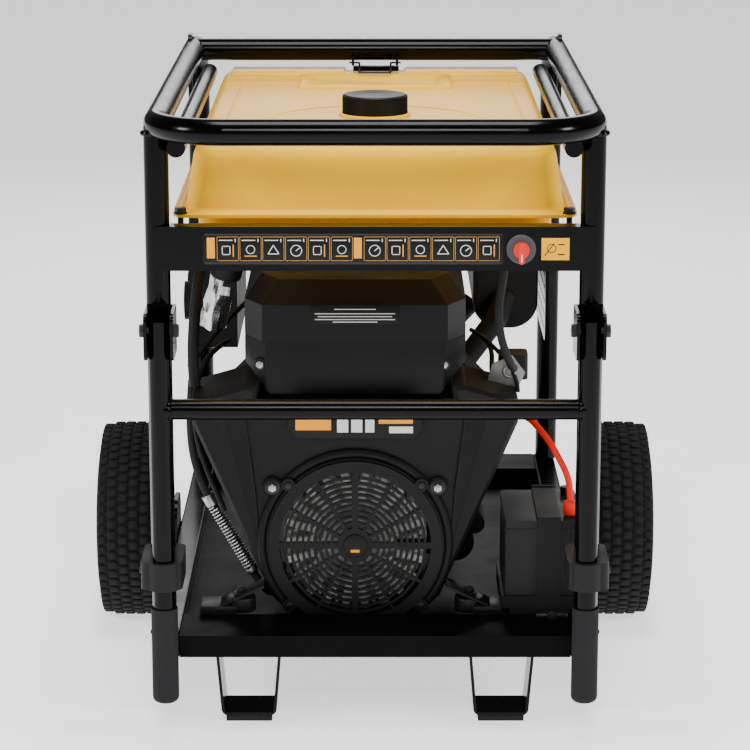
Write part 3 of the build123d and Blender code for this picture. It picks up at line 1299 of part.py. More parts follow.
with BuildPart() as battery:
    with Locations((BATTERY_X, battery_mid_y, battery_floor + BATTERY_H / 2)):
        Box(BATTERY_W, BATTERY_DEPTH, BATTERY_H)
    fillet(battery.edges().filter_by(Axis.Z), 4)
    with BuildSketch(Plane.XY.offset(battery_top)):
        with Locations((BOOT_X, BOOT_Y), (BOOT_X, BATTERY_FRONT_Y + BATTERY_DEPTH - POST_IN_Y)):
            Circle(POST_R)
    extrude(amount=POST_H)
finish(battery, "battery")

red_route = [
    (BOOT_X, BOOT_Y, battery_top + POST_H + BODY_GAP), (BOOT_X - 2, BOOT_Y + 4, battery_top + 52),
    (BOOT_X - 28, BOOT_Y + 32, battery_top + 98), (BOOT_X - 60, BOOT_Y + 84, battery_top + 124),
    (BOOT_X - 84, BOOT_Y + 134, battery_top + 96), (BOOT_X - 108, BOOT_Y + 152, battery_top + 40),
    (142, -148, 228.5),
]
red_cable = hose(red_route, CABLE_D, "red_cable")
finish(red_cable, "red_cable")

# =================================================================== hoses
fuel_route = [
    (176, -300, TANK_BOTTOM_Z - BODY_GAP), (172, -302, 596), (165, -302, 553),
    (168, -298, 512), (179, -284, 478), (187, -262, 459), (190, -237, 452),
]
fuel_hose = hose(fuel_route, FUEL_HOSE_D, "fuel_hose")
finish(fuel_hose, "fuel_hose")

with BuildPart() as fuel_pump:
    with Locations(PUMP_PLACE):
        Box(*PUMP_SIZE)
    fillet(fuel_pump.edges().filter_by(Axis.Z), 8)
finish(fuel_pump, "fuel_pump")

drain_route = [
    (-252, -222, 432), (-255, -236, 384), (-251, -252, 334), GUARD_TOP,
    GUARD_FOOT, (-147, -236, 128), (-141, -194, 126), (-131, -150, 142),
]
drain_hose = hose(drain_route, DRAIN_HOSE_D, "drain_hose")
with BuildPart() as spring_guard:
    guard_run = Vector(*GUARD_TOP) - Vector(*GUARD_FOOT)
    guard_start = Vector(*GUARD_FOOT) + guard_run.normalized() * GUARD_SET_BACK
    with BuildSketch(Plane(origin=guard_start, z_dir=guard_run)):
        Circle(GUARD_SPRING_D / 2)
        Circle(DRAIN_HOSE_D / 2 + GUARD_PLAY, mode=Mode.SUBTRACT)
    extrude(amount=guard_run.length - 2 * GUARD_SET_BACK)
finish(drain_hose, "drain_hose")
finish(spring_guard, "spring_guard")

# ============================================================= control box
with BuildPart() as control_box:
    box_mid_x = BOX_OUTER_X + BOX_DEPTH / 2
    box_mid_y = BOX_FRONT_Y + BOX_LENGTH / 2
    box_mid_z = BOX_BOTTOM_Z + BOX_H / 2
    with Locations((box_mid_x, box_mid_y, box_mid_z)):
        Box(BOX_DEPTH, BOX_LENGTH, BOX_H)
    fillet(control_box.edges().filter_by(Axis.X), 10)
    with Locations((box_mid_x, box_mid_y, box_mid_z)):
        Box(BOX_DEPTH - 2 * BOX_WALL, BOX_LENGTH - 2 * BOX_WALL, BOX_H - 2 * BOX_WALL, mode=Mode.SUBTRACT)
    with BuildSketch(Plane.YZ.offset(BOX_OUTER_X - 1)):
        with Locations((KEY_Y, KEY_Z)):
            Circle(KEY_R + RUNNING_GAP)
        with Locations((LEVER_Y, KEY_Z)):
            Rectangle(20, 40)
    extrude(amount=BOX_WALL + 2, mode=Mode.SUBTRACT)
finish(control_box, "control_box")

with BuildPart() as outlets:
    small_places = [(y, SOCKET_Z) for y in SOCKET_YS]
    with BuildSketch(Plane.YZ.offset(BOX_OUTER_X - SOCKET_T)):
        with Locations(*small_places):
            Circle(SOCKET_D / 2)
        with Locations((BIG_SOCKET_Y, SOCKET_Z)):
            Circle(BIG_SOCKET_D / 2)
    extrude(amount=SOCKET_T)
    with BuildSketch(Plane.YZ.offset(BOX_OUTER_X - SOCKET_T - 1)):
        with Locations(*small_places):
            Circle(SOCKET_WELL_D / 2)
        with Locations((BIG_SOCKET_Y, SOCKET_Z)):
            Circle(BIG_SOCKET_WELL_D / 2)
    extrude(amount=SOCKET_T + 1 - SOCKET_FLOOR_T, mode=Mode.SUBTRACT)
finish(outlets, "outlets")

with BuildPart() as key_switch:
    with BuildSketch(Plane.YZ.offset(BOX_OUTER_X - KEY_REACH)):
        with Locations((KEY_Y, KEY_Z)):
            Circle(KEY_R)
    extrude(amount=KEY_REACH + BOX_WALL + 4)
    with Locations((BOX_OUTER_X - KEY_REACH - 8, KEY_Y, KEY_Z)):
        Box(18, 4, 22)
finish(key_switch, "key_switch")

with BuildPart() as breaker_lever:
    with Locations((BOX_OUTER_X + 2, LEVER_Y, KEY_Z)):
        Box(20, 14, 22)
finish(breaker_lever, "breaker_lever")
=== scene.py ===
# %% [markdown]
# # A portable generator, finished in Blender
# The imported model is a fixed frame: every part already stands in its place, in metres.
# This script gives each part its real surface, and adds the small things that a
# plain solid lacks: tyre treads, weld beads, bolts, wires, labels and mouldings.

# %% Load the frame
import json
import math

import bpy
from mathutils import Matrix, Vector


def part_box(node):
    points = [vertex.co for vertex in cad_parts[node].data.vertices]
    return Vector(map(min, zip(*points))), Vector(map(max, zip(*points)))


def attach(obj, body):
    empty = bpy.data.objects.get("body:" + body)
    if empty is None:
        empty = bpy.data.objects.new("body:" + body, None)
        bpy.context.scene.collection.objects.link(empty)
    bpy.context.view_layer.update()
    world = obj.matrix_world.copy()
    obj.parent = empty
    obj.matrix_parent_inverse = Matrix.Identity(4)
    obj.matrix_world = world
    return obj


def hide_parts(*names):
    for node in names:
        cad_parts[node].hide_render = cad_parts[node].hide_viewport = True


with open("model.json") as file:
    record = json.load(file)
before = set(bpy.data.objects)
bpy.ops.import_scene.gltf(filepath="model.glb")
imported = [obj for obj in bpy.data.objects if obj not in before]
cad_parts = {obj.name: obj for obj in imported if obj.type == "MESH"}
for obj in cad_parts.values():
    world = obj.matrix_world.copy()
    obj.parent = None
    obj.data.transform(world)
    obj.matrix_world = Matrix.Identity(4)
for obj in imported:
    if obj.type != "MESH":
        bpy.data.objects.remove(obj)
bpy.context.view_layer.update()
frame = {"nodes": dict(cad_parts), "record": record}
NODES = frame["nodes"]
MM = 0.001
ROOT = "generator"

# %% [markdown]
# ## Camera, floor and light
# The generator is seen square on to its engine end, from a little above, with a
# long lens. Black tubes need large soft lights: what the eye reads on gloss black
# is the reflection of those panels, not the paint.

# %% Camera
CAMERA_DISTANCE = 3.892
CAMERA_HEIGHT = 1.340
CAMERA_PITCH = 76.2
CAMERA_LENS = 131.8
bpy.ops.object.camera_add(
    location=(0, -CAMERA_DISTANCE, CAMERA_HEIGHT), rotation=(math.radians(CAMERA_PITCH), 0, 0)
)
camera = bpy.context.object
camera.data.lens = CAMERA_LENS
camera.data.sensor_width = 36
bpy.context.scene.camera = camera
print("camera looks down by", 90 - CAMERA_PITCH, "degrees")

# %% Lights


def soft_light(name, place, target, size, power):
    """A square light panel turned towards a point."""
    bpy.ops.object.light_add(type="AREA", location=place)
    lamp = bpy.context.object
    lamp.name = name
    lamp.data.size = size
    lamp.data.energy = power
    lamp.rotation_euler = (Vector(target) - Vector(place)).to_track_quat("-Z", "Y").to_euler()
    return lamp


soft_light("top_panel", (0, -0.4, 3.2), (0, 0, 0.4), 1.3, 74)
soft_light("left_panel", (-2.8, -1.8, 1.9), (0, 0, 0.4), 0.7, 60)
soft_light("right_panel", (2.8, -1.8, 1.9), (0, 0, 0.4), 0.7, 60)
soft_light("front_panel_light", (0, -4.2, 3.0), (0, 0, 0.35), 0.9, 62)
soft_light("rear_panel", (0, 3.4, 2.2), (0, 0, 0.5), 2.0, 40)

world = bpy.data.worlds.new("pale_room")
bpy.context.scene.world = world
world.use_nodes = True
world.node_tree.nodes["Background"].inputs["Color"].default_value = (1, 1, 1, 1)
world.node_tree.nodes["Background"].inputs["Strength"].default_value = 0.1

# %% [markdown]
# ## Helpers for materials
# Every finish is built from nodes. Colours are written as the hex values a
# designer would read off a colour card, and one function turns them to linear
# light. Pattern sizes are given in real millimetres.

# %% Material helpers


def colour(hex_text):
    """An sRGB hex value as linear red, green, blue and alpha."""
    channels = [int(hex_text[i : i + 2], 16) / 255 for i in (1, 3, 5)]
    linear = [c / 12.92 if c <= 0.04045 else ((c + 0.055) / 1.055) ** 2.4 for c in channels]
    return (*linear, 1.0)


def add_node(tree, kind, settings=None, values=None, links=None):
    """Add a node with its settings, its socket values and its incoming links."""
    made = tree.nodes.new(kind)
    for key, value in (settings or {}).items():
        setattr(made, key, value)
    for socket, value in (values or {}).items():
        made.inputs[socket].default_value = value
    for socket, source in (links or {}).items():
        tree.links.new(source, made.inputs[socket])
    return made


def per_metre(size_mm):
    """A pattern's scale, from the real size of one of its features."""
    return 1000 / size_mm


def surface(
    name, base, second, roughness, grain_mm, grain_depth_mm,
    metallic=0.0, patch_mm=60, rough_spread=0.06, coat=0.0, grain_strength=0.5, gleam=0.16,
):
    """A finish with a fine grain in its normal and broad patches in its colour and gloss."""
    made = bpy.data.materials.new(name)
    made.use_nodes = True
    tree = made.node_tree
    shader = tree.nodes["Principled BSDF"]
    shader.inputs["Metallic"].default_value = metallic
    shader.inputs["Specular IOR Level"].default_value = 0.5 if metallic else gleam
    shader.inputs["Coat Weight"].default_value = coat
    shader.inputs["Coat Roughness"].default_value = 0.08
    place = add_node(tree, "ShaderNodeTexCoord")
    patches = add_node(
        tree, "ShaderNodeTexNoise", values={"Scale": per_metre(patch_mm), "Detail": 6, "Roughness": 0.6},
        links={"Vector": place.outputs["Object"]},
    )
    tones = add_node(
        tree, "ShaderNodeMix", {"data_type": "RGBA"},
        {6: colour(base), 7: colour(second)}, {0: patches.outputs["Fac"]},
    )
    tree.links.new(tones.outputs[2], shader.inputs["Base Color"])
    gloss = add_node(
        tree, "ShaderNodeMapRange",
        values={
            "From Min": 0.3, "From Max": 0.7, "To Min": roughness - rough_spread,
            "To Max": roughness + rough_spread,
        },
        links={"Value": patches.outputs["Fac"]},
    )
    tree.links.new(gloss.outputs["Result"], shader.inputs["Roughness"])
    grain = add_node(
        tree, "ShaderNodeTexNoise", values={"Scale": per_metre(grain_mm), "Detail": 3},
        links={"Vector": place.outputs["Object"]},
    )
    bump = add_node(
        tree, "ShaderNodeBump", values={"Strength": grain_strength, "Distance": grain_depth_mm * MM},
        links={"Height": grain.outputs["Fac"]},
    )
    tree.links.new(bump.outputs["Normal"], shader.inputs["Normal"])
    return made


# %% [markdown]
# ## The finishes
# Powder coat on the tubes is a baked plastic skin: gloss, with the slow ripple
# called orange peel. The tank is enamel over primed steel, smoother and wetter.
# Mouldings have a spark-eroded grain that scatters light, and rubber scatters more.

# %% Paints
# Baked polyester powder on the tubes: a sharp gloss over a slow ripple.
powder_black = surface(
    "powder_coat_black", "#010101", "#020203", 0.18, 2.6, 0.05, grain_strength=0.22, gleam=0.13,
    rough_spread=0.04,
)
# The same powder in satin on the base tray, which hides scuffs.
base_satin = surface("base_satin_black", "#020202", "#050506", 0.5, 2.0, 0.05, gleam=0.06)
# Sprayed enamel over primer: even colour, and the smoothest of the paints.
tank_enamel = surface(
    "tank_enamel_yellow", "#FFBC00", "#FFC200", 0.36, 6, 0.03, grain_strength=0.1, gleam=0.12,
)
# Heat paint on castings and exhaust: dull, and patchy where it has baked.
heat_black = surface("heat_paint_black", "#121213", "#1C1B1B", 0.62, 0.9, 0.06, patch_mm=30)
# Satin paint on pressed rims: a soft highlight round each bead.
rim_satin = surface("rim_satin_black", "#161617", "#1E1E20", 0.42, 1.5, 0.04)

# %% Plastics and rubbers
# Glass filled nylon, moulded with a spark-eroded grain: a broad dull sheen.
moulded_black = surface("moulded_nylon_black", "#131314", "#18181A", 0.5, 0.8, 0.07, patch_mm=90)
# Unfilled nylon: slightly greyer and duller than the big mouldings.
clip_nylon = surface("clip_nylon_grey", "#161618", "#1C1C1E", 0.52, 0.8, 0.05)
# Polypropylene: a waxy sheen that shows the ribs.
cap_plastic = surface("cap_polypropylene", "#17181A", "#202123", 0.46, 0.9, 0.05)
# Polypropylene with a coarser mould texture.
battery_plastic = surface("battery_polypropylene", "#19191B", "#202022", 0.4, 1.6, 0.04)
# Moulded rubber: almost no highlight.
grip_rubber = surface("grip_rubber", "#1B1B1D", "#212123", 0.74, 0.7, 0.08)
# Carbon filled rubber: the dullest finish, dusty in patches.
tyre_rubber = surface("tyre_rubber", "#161618", "#202021", 0.82, 1.4, 0.12, patch_mm=25)
# Rubber over braid: a deep grain breaks up the light.
hose_rubber = surface("braided_hose_rubber", "#19191B", "#2A2A2C", 0.66, 1.2, 0.3, grain_strength=0.8)
# Extruded PVC: smooth, with a soft line of light along it.
cable_black = surface("cable_pvc_black", "#131314", "#1B1B1C", 0.5, 1.5, 0.05)
# The same PVC in red.
cable_red = surface("cable_pvc_red", "#D81C14", "#F02A1C", 0.38, 1.5, 0.04)
# ABS: glossier than the nylon round it.
knob_red = surface("knob_abs_red", "#DD1F18", "#EE3022", 0.33, 1.0, 0.03, coat=0.2)
print("paints, plastics and rubbers:", len(bpy.data.materials))

# %% Metals and printed films
# Zinc plated steel: bright and slightly uneven.
zinc_plate = surface("zinc_plated_steel", "#B9BABC", "#8F9092", 0.34, 0.9, 0.03, metallic=1.0, patch_mm=14)
# Black oxide on steel: dark, with a metal glint on its edges.
bolt_black = surface("black_oxide_steel", "#151516", "#222224", 0.36, 0.8, 0.04, metallic=0.5)
# Cast aluminium: pale and grainy from the mould.
cast_metal = surface("cast_aluminium", "#A9A8A6", "#858483", 0.5, 1.1, 0.14, metallic=0.9, patch_mm=26)
# Die cast fan, its colour lightened so that it reads in the shade of the guard: painted light against that
# shade.
fan_lightened_for_shade = surface("fan_die_cast_lightened", "#EFEEE8", "#D8D7D0", 0.5, 1.1, 0.08, patch_mm=30)
# Drawn wire: the brightest of the steels.
spring_steel = surface("spring_drawn_steel", "#C4C4C4", "#9A9A9A", 0.3, 0.8, 0.02, metallic=1.0, patch_mm=10)
# Aluminium foil: sharp glints, which change at every crease.
foil = surface("crumpled_foil", "#D9D9D8", "#B4B4B2", 0.22, 6, 0.5, metallic=1.0, patch_mm=8)
# Edges of stacked steel sheets: brown and dull.
core_iron = surface("stator_laminations", "#5B5650", "#3F3B37", 0.6, 0.5, 0.1, metallic=0.7)
# Resin treated paper: matt and cream.
filter_paper = surface("filter_paper", "#D8CBA6", "#C7B88F", 0.9, 0.8, 0.1)
# Printed polyester film, dark grey.
film_dark = surface("printed_film_dark", "#2B2B2D", "#303033", 0.42, 1.2, 0.02)
# The same film in black.
film_black = surface("printed_film_black", "#101011", "#151517", 0.4, 1.2, 0.02)
# Screen printed ink: flat colour with a little variation.
ink_orange = surface("ink_orange", "#F09A1C", "#F6A424", 0.45, 1.2, 0.01)
# Thin lines in a duller ink.
ink_tan = surface("ink_tan", "#A9803F", "#B88C46", 0.5, 1.2, 0.01)
# White ink, slightly grey as on film.
ink_white = surface("ink_white", "#D9D9D6", "#E6E6E2", 0.5, 1.2, 0.01)
# A self-adhesive vinyl label.
label_yellow = surface("label_yellow", "#F4AC12", "#F8B41C", 0.42, 1.2, 0.01)
# Painted disc under the valve knob.
disc_grey = surface("switch_disc_grey", "#47474A", "#505053", 0.5, 0.9, 0.03)
print("materials:", len(bpy.data.materials))

# %% Which finish each slot takes
SLOT_FINISH = {
    "frame_black": powder_black, "tank_yellow": tank_enamel, "moulded_black": moulded_black,
    "grip_rubber": grip_rubber, "clip_plastic": clip_nylon, "tyre_rubber": tyre_rubber,
    "rim_paint": rim_satin, "cast_aluminium": cast_metal, "engine_black": heat_black,
    "zinc_steel": zinc_plate, "spring_steel": spring_steel, "core_iron": core_iron,
    "battery_case": battery_plastic, "hose_rubber": hose_rubber, "cable_red": cable_red,
    "knob_red": knob_red, "panel_print": film_dark, "cap_black": cap_plastic, "filter_paper": filter_paper,
}
NODE_FINISH = {
    "tank_bolts": bolt_black, "cooling_fan": fan_lightened_for_shade, "switch_base": disc_grey, "wire_bail": bolt_black,
    "pivot_bolts": bolt_black, "battery_tray": moulded_black, "base_tray": base_satin,
    "cylinders": heat_black,
}
for entry in frame["record"]["subparts"]:
    part = NODES[entry["node"]]
    finish = NODE_FINISH.get(entry["node"], SLOT_FINISH[entry["material_slot"]])
    part.data.materials.clear()
    part.data.materials.append(finish)
print("finished slots:", len(SLOT_FINISH))

# %% [markdown]
# ## Helpers for modelling
# A piece starts as a primitive at its size and place, and is then shaped. Its
# object ends at the world's origin, so that its patterns stay put. The helpers
# here are the workshop habits: clear the selection, add stock, settle a piece.

# %% Modelling helpers


def clear_selection():
    """Leave edit mode and let go of everything."""
    if bpy.context.mode != "OBJECT":
        bpy.ops.object.mode_set(mode="OBJECT")
    bpy.ops.object.select_all(action="DESELECT")


def hold(piece):
    """Make one piece the only one in hand."""
    clear_selection()
    piece.select_set(True)
    bpy.context.view_layer.objects.active = piece


def block(low, high):
    """A block of stock between two corners."""
    clear_selection()
    low, high = Vector(low), Vector(high)
    bpy.ops.mesh.primitive_cube_add(size=1, location=(low + high) / 2, scale=high - low)
    return bpy.context.object


def rod(start, end, radius, sides=32, end_radius=None):
    """A round bar, or a cone, between two points."""
    clear_selection()
    start, end = Vector(start), Vector(end)
    run = end - start
    bpy.ops.mesh.primitive_cone_add(
        vertices=sides, radius1=radius, radius2=radius if end_radius is None else end_radius,
        depth=run.length, location=(start + end) / 2, rotation=run.to_track_quat("Z", "Y").to_euler(),
    )
    return bpy.context.object


def ring(centre, axis, radius, thickness, turns=48, sides=10):
    """A round ring across an axis."""
    clear_selection()
    bpy.ops.mesh.primitive_torus_add(
        major_radius=radius, minor_radius=thickness, major_segments=turns, minor_segments=sides,
        location=centre, rotation=Vector(axis).to_track_quat("Z", "Y").to_euler(),
    )
    return bpy.context.object


def join(pieces):
    """Make several lumps of stock one piece."""
    clear_selection()
    for lump in pieces:
        lump.select_set(True)
    bpy.context.view_layer.objects.active = pieces[0]
    bpy.ops.object.join()
    return bpy.context.object


def bevel(piece, width, segments=2):
    """Break a piece's sharp edges."""
    hold(piece)
    bpy.ops.object.transform_apply(location=True, rotation=True, scale=True)
    edge = piece.modifiers.new("edge", "BEVEL")
    edge.width = width
    edge.segments = segments
    edge.limit_method = "ANGLE"
    edge.angle_limit = math.radians(40)
    bpy.ops.object.modifier_apply(modifier=edge.name)
    return piece


def settle(piece, name, finish, body=ROOT, smooth=35):
    """Name a piece, shade it, bring its origin home and fasten it to its body."""
    hold(piece)
    bpy.ops.object.transform_apply(location=True, rotation=True, scale=True)
    bpy.ops.object.shade_smooth_by_angle(angle=math.radians(smooth))
    piece.name = name
    piece.data.name = name
    piece.data.materials.clear()
    piece.data.materials.append(finish)
    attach(piece, body)
    return piece


def bead(centre, axis, radius, thickness=2.2 * MM):
    """A weld bead: a ring with the small ripples that each drop of weld leaves."""
    piece = ring(centre, axis, radius, thickness, turns=72, sides=8)
    for vertex in piece.data.vertices:
        turn = math.atan2(vertex.co.y, vertex.co.x)
        swell = 1 + 0.02 * math.cos(24 * turn)
        vertex.co = Vector((vertex.co.x * swell, vertex.co.y * swell, vertex.co.z))
    return piece


def hex_bolt(centre, axis, size, height, washer=0.0):
    """A hexagon head on its washer, with its edges bevelled."""
    axis = Vector(axis).normalized()
    centre = Vector(centre)
    lumps = []
    if washer:
        lumps.append(bevel(rod(centre, centre + axis * 1.6 * MM, washer, 32), 0.4 * MM))
    head = rod(centre + axis * 1.4 * MM, centre + axis * (1.4 * MM + height), size, 6)
    lumps.append(bevel(head, 0.6 * MM))
    return join(lumps)


# %% [markdown]
# ## Floor
# A plain pale floor that fades into the room: one large sheet, no pattern.

# %% Floor
bpy.ops.mesh.primitive_plane_add(size=30, location=(0, 0, -0.0005))
floor = bpy.context.object
floor.name = "floor"
floor_paint = surface("floor_paint", "#F3F3F3", "#F6F6F6", 0.7, 4, 0.02, patch_mm=900)
floor_paint.node_tree.nodes["Principled BSDF"].inputs["Emission Color"].default_value = colour("#FFFFFF")
floor_paint.node_tree.nodes["Principled BSDF"].inputs["Emission Strength"].default_value = 1.1
floor.data.materials.append(floor_paint)

# %% [markdown]
# ## Tyres
# A turf tyre is a rounded carcass with rows of small staggered blocks. The
# carcass is a section spun round the axle. One block is modelled per row and spun
# with copies, which is how a mould's segments repeat too.

# %% Tyres
TREAD_ROWS = 6
TREAD_PITCHES = 58
TREAD_HEIGHT = 4.0 * MM


def tyre(side):
    """One tyre: spun carcass and spun tread."""
    node = f"tyre_{side}"
    low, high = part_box(node)
    centre = (low + high) / 2
    half = (high.x - low.x) / 2
    outer = (high.z - low.z) / 2 - TREAD_HEIGHT
    rim_low, rim_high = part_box(f"rim_{side}")
    bead_r = (rim_high.z - rim_low.z) / 2 - 10 * MM
    section = [
        (-0.78 * half, bead_r), (-0.82 * half, bead_r + 12 * MM), (-0.99 * half, bead_r + 27 * MM),
        (-1.0 * half, bead_r + 42 * MM), (-0.97 * half, outer - 20 * MM), (-0.88 * half, outer - 8 * MM),
        (-0.74 * half, outer - 2 * MM), (-0.4 * half, outer),
    ]
    profile = section + [(-x, r) for x, r in reversed(section)]
    verts = [(centre.x + x, centre.y, centre.z + r) for x, r in profile]
    mesh = bpy.data.meshes.new(node + "_section")
    mesh.from_pydata(verts, [(i, i + 1) for i in range(len(verts) - 1)], [])
    carcass = bpy.data.objects.new(node + "_carcass", mesh)
    bpy.context.scene.collection.objects.link(carcass)
    hold(carcass)
    bpy.ops.object.mode_set(mode="EDIT")
    bpy.ops.mesh.select_all(action="SELECT")
    bpy.ops.mesh.spin(steps=96, angle=2 * math.pi, center=centre, axis=(1, 0, 0))
    bpy.ops.mesh.select_all(action="SELECT")
    bpy.ops.mesh.remove_doubles(threshold=1e-5)
    bpy.ops.mesh.normals_make_consistent(inside=False)
    bpy.ops.object.mode_set(mode="OBJECT")
    wall = carcass.modifiers.new("wall", "SOLIDIFY")
    wall.thickness = 6 * MM
    wall.offset = -1
    bpy.ops.object.modifier_apply(modifier=wall.name)
    lumps = [carcass]
    row_pitch = 2 * half * 0.94 / TREAD_ROWS
    for row in range(TREAD_ROWS):
        x = centre.x + (row - (TREAD_ROWS - 1) / 2) * row_pitch
        across = abs(row - (TREAD_ROWS - 1) / 2) / (TREAD_ROWS / 2)
        drop = 7 * MM * across**4
        length = 2 * math.pi * outer / TREAD_PITCHES * 0.72
        stud = block(
            (x - row_pitch * 0.4, centre.y - length / 2, centre.z + outer - drop - 5 * MM),
            (x + row_pitch * 0.4, centre.y + length / 2, centre.z + outer - drop + TREAD_HEIGHT),
        )
        hold(stud)
        bpy.ops.object.transform_apply(location=True, rotation=True, scale=True)
        bpy.ops.object.mode_set(mode="EDIT")
        bpy.ops.mesh.select_all(action="SELECT")
        if row % 2:
            bpy.ops.transform.rotate(
                value=math.pi / TREAD_PITCHES, orient_axis="X", orient_type="GLOBAL", center_override=centre
            )
        bpy.ops.mesh.spin(
            steps=TREAD_PITCHES, dupli=True, angle=2 * math.pi, center=centre, axis=(1, 0, 0)
        )
        bpy.ops.object.mode_set(mode="OBJECT")
        lumps.append(bevel(stud, 1.2 * MM, 1))
    piece = settle(join(lumps), f"turf_{node}", tyre_rubber, f"wheel_{side}", smooth=50)
    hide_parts(node)
    print(piece.name, "faces:", len(piece.data.polygons))


tyre("left")
tyre("right")

# %% [markdown]
# ## Weld beads
# Tube ends are MIG welded. The bead is a low ring with a ripple for every drop,
# and the powder coat covers it, so it takes the same black as the tube.

# %% Weld beads
handle_low, handle_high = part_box("handle_frame")
upright_low, upright_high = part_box("front_uprights")
loop_low, loop_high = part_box("top_loop")
bar_low, bar_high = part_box("rear_cross_bar")
HANDLE_R = 14 * MM
handle_x = handle_high.x - HANDLE_R
handle_y = (handle_low.y + handle_high.y) / 2
BAR_Z = 454 * MM
UPRIGHT_R = 16 * MM
upright_x = upright_high.x - UPRIGHT_R
upright_y = (upright_low.y + upright_high.y) / 2

for sign in (-1, 1):
    beads = [bead((sign * (handle_x - HANDLE_R + 1.5 * MM), handle_y, BAR_Z), (1, 0, 0), 13 * MM, 2.4 * MM)]
    settle(
        join(beads), f"handle_weld_{'right' if sign > 0 else 'left'}", powder_black, "handle",
    )
    collars = [
        bead((sign * upright_x, upright_y, upright_high.z - 9 * MM), (0, 0, 1), 16.5 * MM, 3.4 * MM),
        bead((sign * upright_x, upright_y, upright_low.z + 1 * MM), (0, 0, 1), 17 * MM, 2.6 * MM),
        bead(
            (sign * (bar_high.x - 1.5 * MM), bar_high.y - 17 * MM, loop_high.z - 17 * MM), (1, 0, 0),
            17.5 * MM, 2.4 * MM,
        ),
    ]
    settle(join(collars), f"frame_weld_{'right' if sign > 0 else 'left'}", powder_black)
print("weld beads done")

# %% [markdown]
# ## The instruction strip, the valve disc and the yellow label
# The real strip is a printed film with a row of small cells. Each cell holds a
# pictogram, and no lettering is needed to read as one. Cells are thin frames,
# and the drawings are plain strokes laid a hair above the film.

# %% Panel prints
strip_low, strip_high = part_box("panel_plates")
FILM = 0.35 * MM
CELL_COUNT = 12
panel_front = strip_low.y
panel_mid_z = (strip_low.z + strip_high.z) / 2
strip_left = strip_low.x
strip_right = 165 * MM
strip_h = strip_high.z - strip_low.z


def stroke(start, end, width, lift=2):
    """A printed line on the panel between two points given as (x, z)."""
    start, end = Vector((start[0], 0, start[1])), Vector((end[0], 0, end[1]))
    run = end - start
    clear_selection()
    bpy.ops.mesh.primitive_cube_add(
        size=1, location=((start.x + end.x) / 2, panel_front - lift * FILM / 2, (start.z + end.z) / 2),
        rotation=(0, -math.atan2(run.z, run.x), 0), scale=(run.length + width, FILM, width),
    )
    return bpy.context.object


def frame_of_strokes(left, bottom, right, top, width, lift=2):
    """A rectangle drawn as four strokes."""
    return [
        stroke((left, bottom), (right, bottom), width, lift), stroke((left, top), (right, top), width, lift),
        stroke((left, bottom), (left, top), width, lift), stroke((right, bottom), (right, top), width, lift),
    ]


def dial(x, z, radius, width):
    """A printed circle."""
    return ring((x, panel_front - FILM, z), (0, 1, 0), radius, width / 2, 28, 4)


inner_left = strip_left + 4 * MM
inner_right = strip_right - 4 * MM
wide_cell = 13 * MM
cell_w = (inner_right - inner_left - 2 * wide_cell) / CELL_COUNT
cell_low = panel_mid_z - strip_h / 2 + 5 * MM
cell_high = panel_mid_z + strip_h / 2 - 4 * MM
face = block(
    (strip_left, panel_front - 0.1 * MM, cell_low - 2 * MM),
    (strip_right, panel_front + 0.9 * MM, cell_high + 2 * MM),
)
settle(bevel(face, 0.3 * MM), "strip_film", film_black)

outlines, icons, titles, blocks = [], [], [], []
cursor = inner_left
for cell in range(CELL_COUNT + 2):
    if cell in (0, 7):
        blocks.append(
            block(
                (cursor + 0.8 * MM, panel_front - FILM, cell_low + 3 * MM),
                (cursor + wide_cell - 2 * MM, panel_front, cell_high - 1 * MM),
            )
        )
        cursor += wide_cell
        continue
    left, right = cursor + 1 * MM, cursor + cell_w - 1 * MM
    outlines += frame_of_strokes(left, cell_low, right, cell_high, 0.7 * MM)
    centre_x = (left + right) / 2
    centre_z = cell_low + (cell_high - cell_low) * 0.42
    reach = (right - left) * 0.26
    titles.append(
        stroke((left + 3 * MM, cell_high - 4.5 * MM), (right - 8 * MM, cell_high - 4.5 * MM), 1.1 * MM)
    )
    titles.append(
        stroke((right - 4 * MM, cell_high - 6 * MM), (right - 4 * MM, cell_high - 3 * MM), 1.1 * MM)
    )
    kind = cell % 4
    if kind == 0:
        icons.append(dial(centre_x, centre_z, reach, 1.0 * MM))
        icons.append(
            stroke((centre_x, centre_z), (centre_x + reach * 0.6, centre_z + reach * 0.5), 1.0 * MM)
        )
    elif kind == 1:
        icons += frame_of_strokes(
            centre_x - reach, centre_z - reach * 0.7, centre_x + reach * 0.4, centre_z + reach * 0.8,
            0.9 * MM,
        )
        blocks.append(
            stroke((centre_x + reach, centre_z - reach), (centre_x + reach, centre_z + reach), 1.4 * MM)
        )
    elif kind == 2:
        icons.append(dial(centre_x, centre_z + reach * 0.2, reach * 0.75, 1.0 * MM))
        blocks.append(
            stroke((centre_x - reach, centre_z - reach), (centre_x + reach, centre_z - reach), 1.3 * MM)
        )
    else:
        icons.append(
            stroke((centre_x - reach, centre_z - reach * 0.6), (centre_x, centre_z + reach), 1.0 * MM)
        )
        icons.append(
            stroke((centre_x, centre_z + reach), (centre_x + reach, centre_z - reach * 0.6), 1.0 * MM)
        )
        icons.append(
            stroke(
                (centre_x - reach, centre_z - reach * 0.6), (centre_x + reach, centre_z - reach * 0.6),
                1.0 * MM,
            )
        )
    cursor += cell_w
settle(join(outlines), "strip_outlines", ink_tan)
settle(join(icons + titles), "strip_pictograms", ink_white)
settle(join(blocks), "strip_accents", ink_orange)
print("strip cells:", CELL_COUNT, "of", round(cell_w / MM), "mm")

